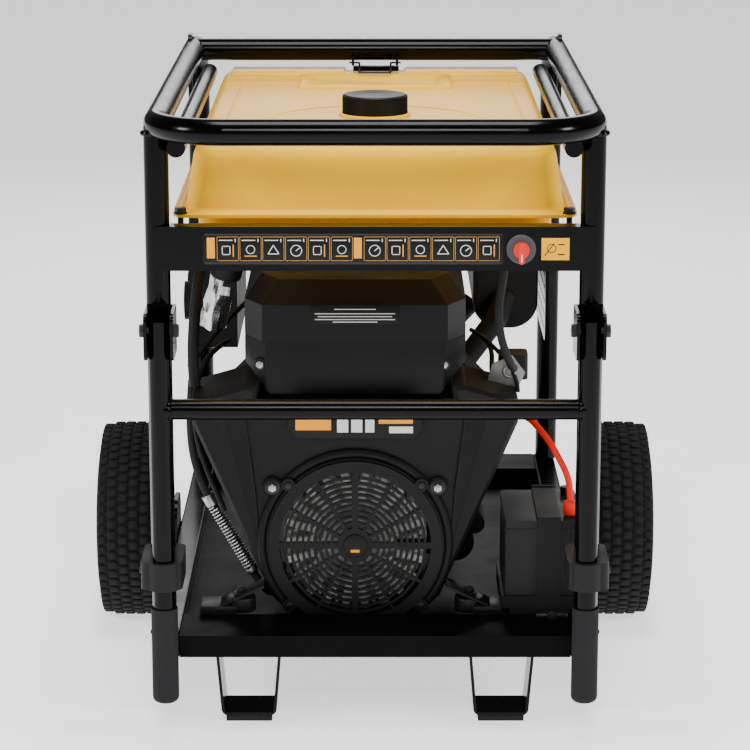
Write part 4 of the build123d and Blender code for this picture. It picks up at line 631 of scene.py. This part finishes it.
# %% Yellow label and the valve's marks
label_left, label_right = strip_high.x - 36 * MM, strip_high.x
label_low, label_high = panel_mid_z - 14.5 * MM, panel_mid_z + 14.5 * MM
plate = block(
    (label_left, panel_front - 0.3 * MM, label_low), (label_right, panel_front + 0.6 * MM, label_high),
)
settle(bevel(plate, 0.25 * MM), "fuel_label", label_yellow)
label_x = (label_left + label_right) / 2 - 5 * MM
marks = [
    dial(label_x, panel_mid_z + 1 * MM, 5.5 * MM, 0.9 * MM),
    stroke((label_x - 8 * MM, panel_mid_z - 8 * MM), (label_x + 3 * MM, panel_mid_z + 7 * MM), 1.0 * MM, 3),
    stroke((label_x + 9 * MM, panel_mid_z + 6 * MM), (label_x + 16 * MM, panel_mid_z + 6 * MM), 1.3 * MM, 3),
    stroke((label_x + 9 * MM, panel_mid_z - 7 * MM), (label_x + 16 * MM, panel_mid_z - 7 * MM), 1.3 * MM, 3),
]
settle(join(marks), "fuel_label_marks", film_black)
knob_low, knob_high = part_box("switch_knob")
knob_x = (knob_low.x + knob_high.x) / 2
pointer = block(
    (knob_x - 0.8 * MM, knob_low.y - 0.3 * MM, knob_low.z + 3 * MM), (
        knob_x + 0.8 * MM, knob_low.y + 0.2 * MM, knob_low.z + 13 * MM,
    )
)
settle(bevel(pointer, 0.2 * MM), "knob_pointer", ink_white, "knob")

# %% [markdown]
# ## Filler cap
# The cap is a moulding with upright ribs for grip. A lathe would leave it round:
# here every other side face is pushed in, and the crown keeps a shallow dish.

# %% Filler cap
CAP_RIBS = 60
cap_low, cap_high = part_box("fuel_cap")
cap_centre = (cap_low + cap_high) / 2
cap_r = (cap_high.x - cap_low.x) / 2
clear_selection()
bpy.ops.mesh.primitive_cylinder_add(
    vertices=2 * CAP_RIBS, radius=cap_r, depth=cap_high.z - cap_low.z - 3 * MM,
    location=(cap_centre.x, cap_centre.y, cap_centre.z - 1.5 * MM),
)
cap = bpy.context.object
hold(cap)
bpy.ops.object.transform_apply(location=True, rotation=True, scale=True)
for polygon in cap.data.polygons:
    turn = math.atan2(polygon.center.y - cap_centre.y, polygon.center.x - cap_centre.x)
    polygon.select = abs(polygon.normal.z) < 0.5 and int((turn % math.tau) / math.tau * 2 * CAP_RIBS) % 2 == 0
bpy.ops.object.mode_set(mode="EDIT")
bpy.ops.mesh.select_mode(type="FACE")
bpy.ops.object.mode_set(mode="OBJECT")
bpy.ops.object.mode_set(mode="EDIT")
bpy.ops.mesh.inset(thickness=0.3 * MM, depth=-1.0 * MM, use_individual=True)
bpy.ops.mesh.select_all(action="DESELECT")
bpy.ops.object.mode_set(mode="OBJECT")
for polygon in cap.data.polygons:
    polygon.select = polygon.normal.z > 0.9 and polygon.area > 1e-3
bpy.ops.object.mode_set(mode="EDIT")
bpy.ops.mesh.inset(thickness=3 * MM, depth=2.5 * MM)
bpy.ops.mesh.inset(thickness=5 * MM, depth=0.5 * MM)
bpy.ops.mesh.inset(thickness=9 * MM, depth=-3 * MM)
bpy.ops.object.mode_set(mode="OBJECT")
settle(cap, "ribbed_fuel_cap", cap_plastic, "fuel_cap", smooth=30)
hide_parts("fuel_cap")
print("cap ribs:", CAP_RIBS)

# %% [markdown]
# ## Pressings on the tank
# The tank's top is stiffened by swages: a raised rectangle near the rear, a bead
# along each side and a wide arc round the filler. Rounded strips sunk halfway in
# the sheet give that relief, in the same enamel.

# %% Tank pressings
tank_low, tank_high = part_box("fuel_tank")
TANK_TOP = 780 * MM
RIDGE_TOP = TANK_TOP + 4.5 * MM
ridge = block((-115 * MM, 170 * MM, TANK_TOP - 6 * MM), (115 * MM, 312 * MM, RIDGE_TOP))
hold(ridge)
bpy.ops.object.transform_apply(location=True, rotation=True, scale=True)
for polygon in ridge.data.polygons:
    polygon.select = polygon.normal.z > 0.9
bpy.ops.object.mode_set(mode="EDIT")
bpy.ops.mesh.select_mode(type="FACE")
bpy.ops.mesh.inset(thickness=16 * MM, depth=0)
bpy.ops.mesh.inset(thickness=7 * MM, depth=-4 * MM)
bpy.ops.object.mode_set(mode="OBJECT")
bevel(ridge, 4.5 * MM, 4)
settle(ridge, "tank_ridge", tank_enamel, smooth=60)

FLANGE_TOP = 692 * MM
skirt = block(
    (tank_low.x + 6 * MM, tank_low.y + 4 * MM, FLANGE_TOP - 2 * MM),
    (tank_high.x - 6 * MM, tank_high.y - 4 * MM, FLANGE_TOP),
)
hold(skirt)
bpy.ops.object.transform_apply(location=True, rotation=True, scale=True)
bpy.ops.object.mode_set(mode="EDIT")
bpy.ops.mesh.select_all(action="DESELECT")
bpy.ops.object.mode_set(mode="OBJECT")
for edge in skirt.data.edges:
    one, two = (skirt.data.vertices[v].co for v in edge.vertices)
    edge.select = abs(one.z - two.z) > 1 * MM
bpy.ops.object.mode_set(mode="EDIT")
bpy.ops.mesh.select_mode(type="EDGE")
bpy.ops.mesh.bevel(offset=50 * MM, segments=12)
bpy.ops.mesh.select_all(action="DESELECT")
bpy.ops.object.mode_set(mode="OBJECT")
for polygon in skirt.data.polygons:
    polygon.select = polygon.normal.z > 0.9
bpy.ops.object.mode_set(mode="EDIT")
bpy.ops.mesh.select_mode(type="FACE")
for inwards, upwards in (
    (3.4, 0.5), (3.0, 1.4), (2.4, 2.8), (1.9, 4.6), (1.4, 6.4), (1.1, 8.2), (0.9, 10), (8, 0),
):
    bpy.ops.mesh.inset(thickness=inwards * MM, depth=upwards * MM)
bpy.ops.object.mode_set(mode="OBJECT")
settle(skirt, "tank_skirt", tank_enamel, smooth=60)

swages = []
for sign in (-1, 1):
    side_x = sign * 205 * MM
    swages.append(
        rod(
            (side_x, -300 * MM, TANK_TOP - 0.8 * MM),
            (side_x - sign * 6 * MM, 250 * MM, TANK_TOP - 0.8 * MM), 2.2 * MM, 12,
        )
    )
    swages.append(
        rod(
            (sign * 118 * MM, 236 * MM, TANK_TOP - 0.8 * MM),
            (sign * 226 * MM, 224 * MM, TANK_TOP - 0.8 * MM), 2.2 * MM, 12,
        )
    )
collar = ring((0, cap_centre.y, TANK_TOP + 1.2 * MM), (0, 0, 1), 47 * MM, 3 * MM, 72, 10)
swages.append(collar)
arc = ring((0, cap_centre.y - 60 * MM, TANK_TOP - 1.2 * MM), (0, 0, 1), 150 * MM, 2.4 * MM, 96, 8)
hold(arc)
bpy.ops.object.transform_apply(location=True, rotation=True, scale=True)
bpy.ops.object.mode_set(mode="EDIT")
bpy.ops.mesh.select_all(action="SELECT")
bpy.ops.mesh.bisect(
    plane_co=(0, cap_centre.y - 50 * MM, 0), plane_no=(0, 1, 0), clear_inner=True, use_fill=True,
)
bpy.ops.object.mode_set(mode="OBJECT")
swages.append(arc)
settle(join(swages), "tank_swages", tank_enamel, smooth=60)

# %% The raised rear of the tank
RISE_TOP = TANK_TOP + 4 * MM
RISE_CHANNEL = 46 * MM
rises = []
for sign in (-1, 1):
    near_x, far_x = sorted((sign * RISE_CHANNEL, sign * 222 * MM))
    rise = block((near_x, 322 * MM, TANK_TOP - 8 * MM), (far_x, 398 * MM, RISE_TOP))
    rises.append(bevel(rise, 3.5 * MM, 4))
settle(join(rises), "tank_rear_rise", tank_enamel, smooth=60)

# %% Bracket bar and level gauge under the rear bar
gauge_y = 330 * MM
gauge = [
    bevel(
        block(
            (-20 * MM, gauge_y - 9 * MM, TANK_TOP - 1 * MM), (24 * MM, gauge_y + 9 * MM, TANK_TOP + 3 * MM),
        ),
        1.5 * MM,
    )
]
settle(join(gauge), "level_gauge_rim", moulded_black)
needle = block(
    (-14 * MM, gauge_y - 5 * MM, TANK_TOP + 2.8 * MM), (18 * MM, gauge_y + 5 * MM, TANK_TOP + 3.3 * MM),
)
settle(bevel(needle, 0.2 * MM), "level_gauge_face", knob_red)
lens = block(
    (-4 * MM, gauge_y - 4 * MM, TANK_TOP + 3.2 * MM), (9 * MM, gauge_y + 4 * MM, TANK_TOP + 3.6 * MM),
)
settle(bevel(lens, 0.15 * MM), "level_gauge_mark", ink_white)
bracket = bevel(block((-34 * MM, 353 * MM, 782 * MM), (37 * MM, 365 * MM, 790 * MM)), 1 * MM)
settle(bracket, "bail_bracket", powder_black)
print("tank fittings done")

# %% [markdown]
# ## Blower housing
# The housing is one large moulding: a flat centre that carries the badge, folded
# facets down both sides, and a thick round lip round the fan guard. The facets
# are drawn as an outline at three depths and faced between them.

# %% Blower housing
shroud_low, shroud_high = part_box("blower_shroud")
guard_low, guard_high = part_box("fan_guard")
guard_x = (guard_low.x + guard_high.x) / 2
guard_z = (guard_low.z + guard_high.z) / 2
face_y = shroud_low.y + 8 * MM
GUARD_R = 118 * MM


def facet(points, thickness, name):
    """A solid panel from one outline of (x, y, z) points, thickened backwards."""
    mesh = bpy.data.meshes.new(name)
    mesh.from_pydata(points, [], [tuple(range(len(points)))])
    panel = bpy.data.objects.new(name, mesh)
    bpy.context.scene.collection.objects.link(panel)
    hold(panel)
    bpy.ops.object.mode_set(mode="EDIT")
    bpy.ops.mesh.select_all(action="SELECT")
    bpy.ops.mesh.normals_make_consistent(inside=False)
    bpy.ops.object.mode_set(mode="OBJECT")
    wall = panel.modifiers.new("wall", "SOLIDIFY")
    wall.thickness = thickness
    wall.offset = 0
    bpy.ops.object.modifier_apply(modifier=wall.name)
    return panel


ribs = []
for sign in (-1, 1):
    cx = guard_x
    fy = face_y - 3 * MM
    ribs.append(facet([
        (cx + sign * 148 * MM, fy, 412 * MM), (cx + sign * 196 * MM, fy + 10 * MM, 408 * MM),
        (cx + sign * 128 * MM, fy + 6 * MM, 214 * MM), (cx + sign * 134 * MM, fy, 300 * MM),
    ], 7 * MM, "cheek"))
    ribs.append(facet([
        (cx + sign * 205 * MM, fy + 8 * MM, 420 * MM), (cx + sign * 214 * MM, fy + 14 * MM, 396 * MM),
        (cx + sign * 118 * MM, fy + 12 * MM, 168 * MM), (cx + sign * 116 * MM, fy + 6 * MM, 196 * MM),
    ], 8 * MM, "outer_cheek"))
for rib in ribs:
    bevel(rib, 2.2 * MM, 3)
settle(join(ribs), "shroud_cheeks", moulded_black, smooth=50)

lip = ring((guard_x, face_y - 1 * MM, guard_z), (0, 1, 0), GUARD_R + 9 * MM, 6.5 * MM, 96, 14)
hold(lip)
bpy.ops.object.transform_apply(location=True, rotation=True, scale=True)
bpy.ops.object.mode_set(mode="EDIT")
bpy.ops.mesh.select_all(action="SELECT")
bpy.ops.mesh.bisect(plane_co=(0, 0, 136 * MM), plane_no=(0, 0, 1), clear_inner=True, use_fill=True)
bpy.ops.object.mode_set(mode="OBJECT")
bosses = [lip]
BOLT_X, BOLT_Z = 112 * MM, 81 * MM
for sign in (-1, 1):
    boss = rod(
        (guard_x + sign * BOLT_X, face_y + 4 * MM, guard_z + BOLT_Z),
        (guard_x + sign * BOLT_X, face_y - 7 * MM, guard_z + BOLT_Z), 13 * MM, 32,
    )
    bosses.append(bevel(boss, 1.5 * MM, 3))
chin = block((guard_x - 69 * MM, face_y - 3 * MM, 106 * MM), (guard_x + 69 * MM, face_y + 8 * MM, 130 * MM))
bosses.append(bevel(chin, 4 * MM, 3))
settle(join(bosses), "shroud_lip", moulded_black, smooth=50)

# %% Housing bolts and guard screws
for sign, side in ((-1, "left"), (1, "right")):
    seat = (guard_x + sign * BOLT_X, face_y - 7 * MM, guard_z + BOLT_Z)
    washer = rod(seat, Vector(seat) + Vector((0, -2 * MM, 0)), 10.5 * MM, 32)
    settle(bevel(washer, 0.6 * MM), f"shroud_washer_{side}", bolt_black)
    head = hex_bolt(Vector(seat) + Vector((0, -2 * MM, 0)), (0, -1, 0), 6 * MM, 4 * MM)
    settle(head, f"shroud_bolt_{side}", zinc_plate)

EAR_X, EAR_Z = 90 * MM, 85 * MM
screws = []
for sx in (-1, 1):
    for sz in (-1, 1):
        seat = Vector((guard_x + sx * EAR_X, guard_low.y, guard_z + sz * EAR_Z))
        screw = rod(seat, seat + Vector((0, -2.6 * MM, 0)), 5 * MM, 24)
        bevel(screw, 1.2 * MM, 3)
        slot_cut = block(seat + Vector((-3.4, -3.0, -0.6)) * MM, seat + Vector((3.4, -2.3, 0.6)) * MM)
        screws += [screw, slot_cut]
settle(join(screws), "guard_screws", bolt_black)

# %% Badge and hub disc
BADGE_HALF_W = 90 * MM
BADGE_LOW = 376 * MM
BADGE_HIGH = 428 * MM
BADGE_CUT = 12 * MM
badge_y = face_y - 8.6 * MM
badge = facet([
    (guard_x - BADGE_HALF_W, badge_y, BADGE_HIGH), (guard_x - BADGE_HALF_W, badge_y, BADGE_LOW + BADGE_CUT),
    (guard_x - BADGE_HALF_W + BADGE_CUT, badge_y, BADGE_LOW), (
        guard_x + BADGE_HALF_W - BADGE_CUT, badge_y, BADGE_LOW,
    ),
    (guard_x + BADGE_HALF_W, badge_y, BADGE_LOW + BADGE_CUT), (guard_x + BADGE_HALF_W, badge_y, BADGE_HIGH),
], 1.6 * MM, "badge")
settle(bevel(badge, 0.4 * MM), "badge_plate", film_black)
by = badge_y - 1.2 * MM


def badge_block(left, right, low, high):
    """A printed block on the badge, across from its middle and up from its foot."""
    return block(
        (guard_x + left * MM, by, BADGE_LOW + low * MM),
        (guard_x + right * MM, by + 0.6 * MM, BADGE_LOW + high * MM),
    )


settle(
    join([badge_block(-80, -32, 11, 26), badge_block(32, 78, 20, 29)]), "badge_accents", ink_orange,
)
bars = [
    badge_block(-24, -9, 8, 30), badge_block(-5, 10, 8, 30), badge_block(14, 26, 8, 30),
    badge_block(46, 78, 7, 16),
]
settle(join(bars), "badge_bars", ink_white)
hub = rod((guard_x, guard_low.y + 1 * MM, guard_z), (guard_x, guard_low.y - 2 * MM, guard_z), 16 * MM, 48)
settle(bevel(hub, 0.8 * MM, 3), "guard_hub_disc", film_black)
hub_mark = block(
    (guard_x - 6 * MM, guard_low.y - 2.4 * MM, guard_z - 9 * MM),
    (guard_x + 6 * MM, guard_low.y - 1.9 * MM, guard_z - 5 * MM),
)
settle(bevel(hub_mark, 0.15 * MM), "guard_hub_mark", ink_orange)

# %% [markdown]
# ## Blade tips
# Pale metal and its highlights show behind the guard, but not the whole shape of
# the blades. Here each blade is guessed to have a thicker front edge, as die cast
# fans can have. One tip is modelled and spun round. The tips take the fan's
# lightened colour, so their pale patches are partly a painted highlight.

# %% Blade tips
fan_low, fan_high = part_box("cooling_fan")
FAN_BLADES = 22
tip_y = fan_low.y
tip = block(
    (guard_x + 56 * MM, tip_y - 1 * MM, guard_z - 5 * MM),
    (guard_x + 97 * MM, tip_y + 5 * MM, guard_z + 5 * MM),
)
bevel(tip, 1 * MM)
bpy.ops.object.mode_set(mode="EDIT")
bpy.ops.mesh.select_all(action="SELECT")
bpy.ops.mesh.spin(
    steps=FAN_BLADES, dupli=True, angle=2 * math.pi, center=(guard_x, tip_y, guard_z), axis=(0, 1, 0),
)
bpy.ops.object.mode_set(mode="OBJECT")
settle(tip, "fan_blade_tips", fan_lightened_for_shade, "crank_train")

# %% [markdown]
# ## Air box
# The cover and the base meet in a thin shadow line. The base has straight sides
# and cut lower corners, so a trimmed block stands for the plainer CAD shell. Two
# screws in black cup washers hold it, and a label carries five plain lines.

# %% Air box details
cover_low, cover_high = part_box("air_filter_cover")
base_low, base_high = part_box("air_filter_base")
seam = block(
    (cover_low.x + 27 * MM, cover_low.y - 0.4 * MM, cover_low.z - 1.2 * MM),
    (cover_high.x - 27 * MM, cover_low.y + 6 * MM, cover_low.z + 0.4 * MM),
)
settle(bevel(seam, 0.4 * MM), "air_box_seam", cable_black)


def trimmed(piece, plane_point, plane_normal):
    """Cut a piece by a plane, keep the side behind it, and close the cut."""
    hold(piece)
    bpy.ops.object.transform_apply(location=True, rotation=True, scale=True)
    bpy.ops.object.mode_set(mode="EDIT")
    bpy.ops.mesh.select_all(action="SELECT")
    bpy.ops.mesh.bisect(plane_co=plane_point, plane_no=plane_normal, clear_outer=True, use_fill=True)
    bpy.ops.object.mode_set(mode="OBJECT")


BOX_HALF_W = (cover_high.x - cover_low.x) / 2
CHAMFER_Z = base_low.z + 37 * MM   # the lower corners clear the notch in the housing
box_base = block(
    (guard_x - BOX_HALF_W, base_low.y, base_low.z), (guard_x + BOX_HALF_W, base_high.y, base_high.z),
)
for sign in (-1, 1):
    trimmed(box_base, (guard_x + sign * 121 * MM, base_low.y, 0), (sign * 0.84, -0.54, 0))
    trimmed(box_base, (guard_x + sign * BOX_HALF_W, 0, CHAMFER_Z), (sign * 0.72, 0, -0.69))
bevel(box_base, 2 * MM, 3)
settle(box_base, "air_box_base", moulded_black, smooth=30)
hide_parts("air_filter_base")

label = block(
    (guard_x - 60 * MM, cover_low.y - 0.8 * MM, 525 * MM),
    (guard_x + 60 * MM, cover_low.y + 1 * MM, 552 * MM),
)
settle(bevel(label, 0.5 * MM), "air_box_label", film_black)
lines = [
    block(
        (guard_x - w * MM, cover_low.y - 1.2 * MM, z * MM),
        (guard_x + w * MM, cover_low.y - 0.7 * MM, (z + 1.1) * MM),
    )
    for z, w in ((545, 28), (539, 54), (535, 50), (531, 54), (527.5, 30))
]
settle(join(lines), "air_box_label_lines", ink_white)
for sign, side in ((-1, "left"), (1, "right")):
    seat = Vector((guard_x - 4 * MM + sign * 125 * MM, base_low.y + 9 * MM, 468 * MM))
    cup = rod(seat + Vector((0, 6 * MM, 0)), seat + Vector((0, -6 * MM, 0)), 8.5 * MM, 32)
    settle(bevel(cup, 1 * MM, 3), f"air_box_cup_{side}", bolt_black)
    head = rod(seat + Vector((0, -5 * MM, 0)), seat + Vector((0, -8.5 * MM, 0)), 5.2 * MM, 24)
    settle(bevel(head, 1.4 * MM, 3), f"air_box_screw_{side}", zinc_plate)
print("air box done")

# %% [markdown]
# ## Spring guard on the drain hose
# The guard is a close-wound steel coil. A small circle swept by the Screw
# modifier makes the coil, which is then laid along the hose.

# %% Spring guard
WIRE_R = 1.5 * MM
COIL_PITCH = 4.6 * MM
guard_top = Vector((-236, -262, 288)) * MM
guard_foot = Vector((-159, -262, 151)) * MM
guard_run = (guard_top - guard_foot).normalized()
coil_start = guard_foot + guard_run * 27 * MM
coil_length = (guard_top - guard_foot).length - 54 * MM
clear_selection()
bpy.ops.mesh.primitive_circle_add(
    vertices=8, radius=WIRE_R, location=(9 * MM - WIRE_R, 0, 0), rotation=(math.pi / 2, 0, 0),
)
coil = bpy.context.object
hold(coil)
bpy.ops.object.transform_apply(location=True, rotation=True, scale=True)
screw = coil.modifiers.new("coil", "SCREW")
screw.axis = "Z"
screw.screw_offset = COIL_PITCH
screw.iterations = int(coil_length / COIL_PITCH)
screw.steps = 24
screw.render_steps = 24
bpy.ops.object.modifier_apply(modifier=screw.name)
coil.location = coil_start
coil.rotation_euler = guard_run.to_track_quat("Z", "Y").to_euler()
settle(coil, "coil_guard", spring_steel, smooth=60)
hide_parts("spring_guard")
ferrule = rod(guard_top - guard_run * 27 * MM, guard_top - guard_run * 10 * MM, 9 * MM, 32)
foot_end = rod(guard_foot + guard_run * 20 * MM, guard_foot + guard_run * 27 * MM, 8.6 * MM, 32)
settle(
    join([bevel(ferrule, 1 * MM, 3), bevel(foot_end, 1 * MM, 3)]), "guard_ferrules", zinc_plate,
)
print("coil turns:", int(coil_length / COIL_PITCH))

# %% [markdown]
# ## Engine bay
# Small things fill the space beside the engine: a foil wrapped duct and its elbow
# on the left, a cast lug and spark leads on the right, bent mounting brackets with
# their bolts low down. Leads are swept round wires. What each lead is for, and
# the battery's hold-down, are guesses.

# %% Leads and duct


def lead(points, radius, name, finish):
    """A round lead through several points, as a swept curve made solid."""
    curve = bpy.data.curves.new(name, "CURVE")
    curve.dimensions = "3D"
    curve.bevel_depth = radius
    curve.bevel_resolution = 4
    curve.use_fill_caps = True
    spline = curve.splines.new("NURBS")
    spline.points.add(len(points) - 1)
    for place, point in zip(spline.points, points):
        place.co = (*[v * MM for v in point], 1)
    spline.use_endpoint_u = True
    spline.order_u = 4
    wire = bpy.data.objects.new(name, curve)
    bpy.context.scene.collection.objects.link(wire)
    hold(wire)
    bpy.ops.object.convert(target="MESH")
    return settle(wire, name, finish, smooth=60)


lead(
    [(-232, -120, 612), (-238, -180, 600), (-246, -232, 540), (-250, -246, 470), (-246, -250, 430)], 8 * MM,
    "breather_hose", cable_black,
)
lead(
    [
        (-205, -150, 470), (-232, -214, 470), (-252, -240, 420), (-246, -258, 350), (-222, -280, 300),
        (-206, -284, 262),
    ],
    4 * MM, "throttle_lead", cable_black,
)
lead(
    [(-180, -120, 520), (-214, -190, 500), (-238, -214, 474), (-256, -222, 450)], 3.5 * MM, "choke_lead",
    cable_black,
)
lead(
    [(150, -120, 470), (168, -190, 470), (150, -226, 440), (176, -240, 420), (200, -230, 400)], 3.5 * MM,
    "spark_lead_upper", cable_black,
)
lead(
    [(134, -150, 486), (160, -214, 486), (196, -246, 452), (196, -242, 420)], 3 * MM, "spark_lead_lower",
    cable_black,
)

duct = rod(Vector((-226, -170, 500)) * MM, Vector((-206, -190, 574)) * MM, 19 * MM, 40)
hold(duct)
bpy.ops.object.transform_apply(location=True, rotation=True, scale=True)
bpy.ops.object.mode_set(mode="EDIT")
bpy.ops.mesh.select_all(action="SELECT")
bpy.ops.mesh.subdivide(number_cuts=6)
bpy.ops.object.mode_set(mode="OBJECT")
crumple_texture = bpy.data.textures.new("crumple", "VORONOI")
crumple_texture.noise_scale = 0.016
crumple = duct.modifiers.new("crumple", "DISPLACE")
crumple.texture = crumple_texture
crumple.texture_coords = "GLOBAL"
crumple.strength = 8 * MM
bpy.ops.object.modifier_apply(modifier=crumple.name)
settle(duct, "foil_duct", foil, smooth=20)
elbow = [
    bevel(rod(Vector((-206, -190, 572)) * MM, Vector((-200, -196, 596)) * MM, 22 * MM, 32), 2 * MM, 3),
    bevel(block(Vector((-222, -200, 590)) * MM, Vector((-172, -150, 618)) * MM), 8 * MM, 4),
]
settle(join(elbow), "duct_elbow", clip_nylon)

# %% Lug and mounting brackets
lug = facet(
    [(x * MM, -236 * MM, z * MM) for x, z in ((150, 420), (196, 424), (206, 446), (188, 470), (160, 458))],
    5 * MM, "lug",
)
lug_eye = ring(Vector((184, -239, 448)) * MM, (0, 1, 0), 8 * MM, 2 * MM, 32, 8)
settle(join([bevel(lug, 1 * MM), lug_eye]), "lifting_lug", cast_metal)

for sign, side in ((-1, "left"), (1, "right")):
    cx = guard_x + sign * 40 * MM
    arm_top, arm_foot = 168 * MM, 138 * MM
    near_x, far_x = cx + sign * 84 * MM, cx + sign * 146 * MM
    arm = facet([
        (near_x, -330 * MM, arm_top), (far_x, -330 * MM, arm_foot),
        (far_x, -290 * MM, arm_foot), (near_x, -290 * MM, arm_top),
    ], 4 * MM, "arm")
    foot = block(
        (cx + sign * 146 * MM - 26 * MM, -334 * MM, 130 * MM),
        (cx + sign * 146 * MM + 26 * MM, -286 * MM, 141 * MM),
    )
    cup = rod(
        (cx + sign * 116 * MM, -312 * MM, 130 * MM), (cx + sign * 116 * MM, -312 * MM, 150 * MM), 20 * MM,
        40,
    )
    stud = hex_bolt((cx + sign * 116 * MM, -312 * MM, 154 * MM), (0, 0, 1), 7 * MM, 7 * MM, 11 * MM)
    pieces = [bevel(arm, 0.8 * MM), bevel(foot, 2 * MM), bevel(cup, 2 * MM, 3), stud]
    settle(join(pieces), f"mount_bracket_{side}", bolt_black)

# %% Red boot, battery lid and hold-down
battery_low, battery_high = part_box("battery")
lid_z = battery_high.z - 12 * MM
lid = block(
    (battery_low.x - 1 * MM, battery_low.y - 1 * MM, lid_z - 14 * MM),
    (battery_high.x + 1 * MM, battery_high.y + 1 * MM, lid_z - 11 * MM),
)
settle(bevel(lid, 1 * MM), "battery_lid_line", battery_plastic)
boot_place = Vector((266, -306, 0)) * MM
boot = rod(
    boot_place + Vector((0, 0, battery_high.z - 11 * MM)),
    boot_place + Vector((0, 0, battery_high.z + 9 * MM)), 10 * MM, 28,
)
settle(bevel(boot, 3 * MM, 3), "red_terminal_boot", cable_red)
hold_down = [
    bevel(block(Vector((218, -352, 129)) * MM, Vector((262, -336, 137)) * MM), 3 * MM, 3),
    hex_bolt(Vector((240, -353, 133)) * MM, (0, -1, 0), 5 * MM, 4 * MM, 8 * MM),
]
settle(join(hold_down), "battery_hold_down", bolt_black)

# %% [markdown]
# ## Control box face
# A guess at the usual face: each socket has a rim and three contacts, and a meter
# and a lamp sit above them. It is on the side, clear of the hot end.

# %% Control box face
box_low, box_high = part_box("control_box")
socket_low, socket_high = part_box("outlets")
face_x = box_low.x
socket_z = (socket_low.z + socket_high.z) / 2
pins, wells = [], []
for y_mm, radius in ((165, 20), (245, 20), (331, 28)):
    y = y_mm * MM
    floor_x = face_x - 5.2 * MM
    wells.append(ring((socket_low.x + 1 * MM, y, socket_z), (1, 0, 0), (radius + 1.5) * MM, 1.6 * MM, 48, 8))
    for turn in (90, 210, 330):
        angle = math.radians(turn)
        at = Vector(
            (
                floor_x, y + radius * 0.5 * MM * math.cos(angle),
                socket_z + radius * 0.5 * MM * math.sin(angle),
            )
        )
        pins.append(rod(at + Vector((1 * MM, 0, 0)), at - Vector((1.2 * MM, 0, 0)), 2.6 * MM, 16))
settle(join(wells), "socket_rims", clip_nylon)
settle(join(pins), "socket_contacts", zinc_plate)
meter_y = 270 * MM
meter_z = box_high.z - 46 * MM
bezel = rod((face_x, meter_y, meter_z), (face_x - 4 * MM, meter_y, meter_z), 24 * MM, 48)
settle(bevel(bezel, 1 * MM, 3), "meter_bezel", clip_nylon)
dial_face = rod((face_x - 3.8 * MM, meter_y, meter_z), (face_x - 4.5 * MM, meter_y, meter_z), 19 * MM, 48)
settle(dial_face, "meter_face", ink_white)
needle_mark = block(
    (face_x - 5 * MM, meter_y - 1 * MM, meter_z - 4 * MM),
    (face_x - 4.5 * MM, meter_y + 1 * MM, meter_z + 14 * MM),
)
settle(needle_mark, "meter_needle", film_black)
lamp = rod((face_x, 340 * MM, meter_z), (face_x - 5 * MM, 340 * MM, meter_z), 6 * MM, 24)
settle(bevel(lamp, 1.5 * MM, 3), "pilot_lamp", knob_red)

# %% Clamp screws and plate bolts
clips_low, clips_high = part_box("handle_clips")
plates_low, plates_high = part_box("lifting_plates")
for sign, side in ((-1, "left"), (1, "right")):
    clamp = hex_bolt(
        (sign * (clips_high.x - 1 * MM), -452 * MM, 232 * MM), (sign, 0, 0), 4.5 * MM, 3 * MM, 6 * MM,
    )
    settle(clamp, f"clip_screw_{side}", bolt_black, "handle")
    inner = sign * plates_low.x * -1 - sign * 6 * MM
    bolts = [
        hex_bolt((inner, 384 * MM, 726 * MM), (-sign, 0, 0), 8 * MM, 5 * MM, 12 * MM),
        hex_bolt((inner, 416 * MM, 726 * MM), (-sign, 0, 0), 8 * MM, 5 * MM, 12 * MM),
    ]
    settle(join(bolts), f"plate_bolts_{side}", zinc_plate)
print("fasteners done")
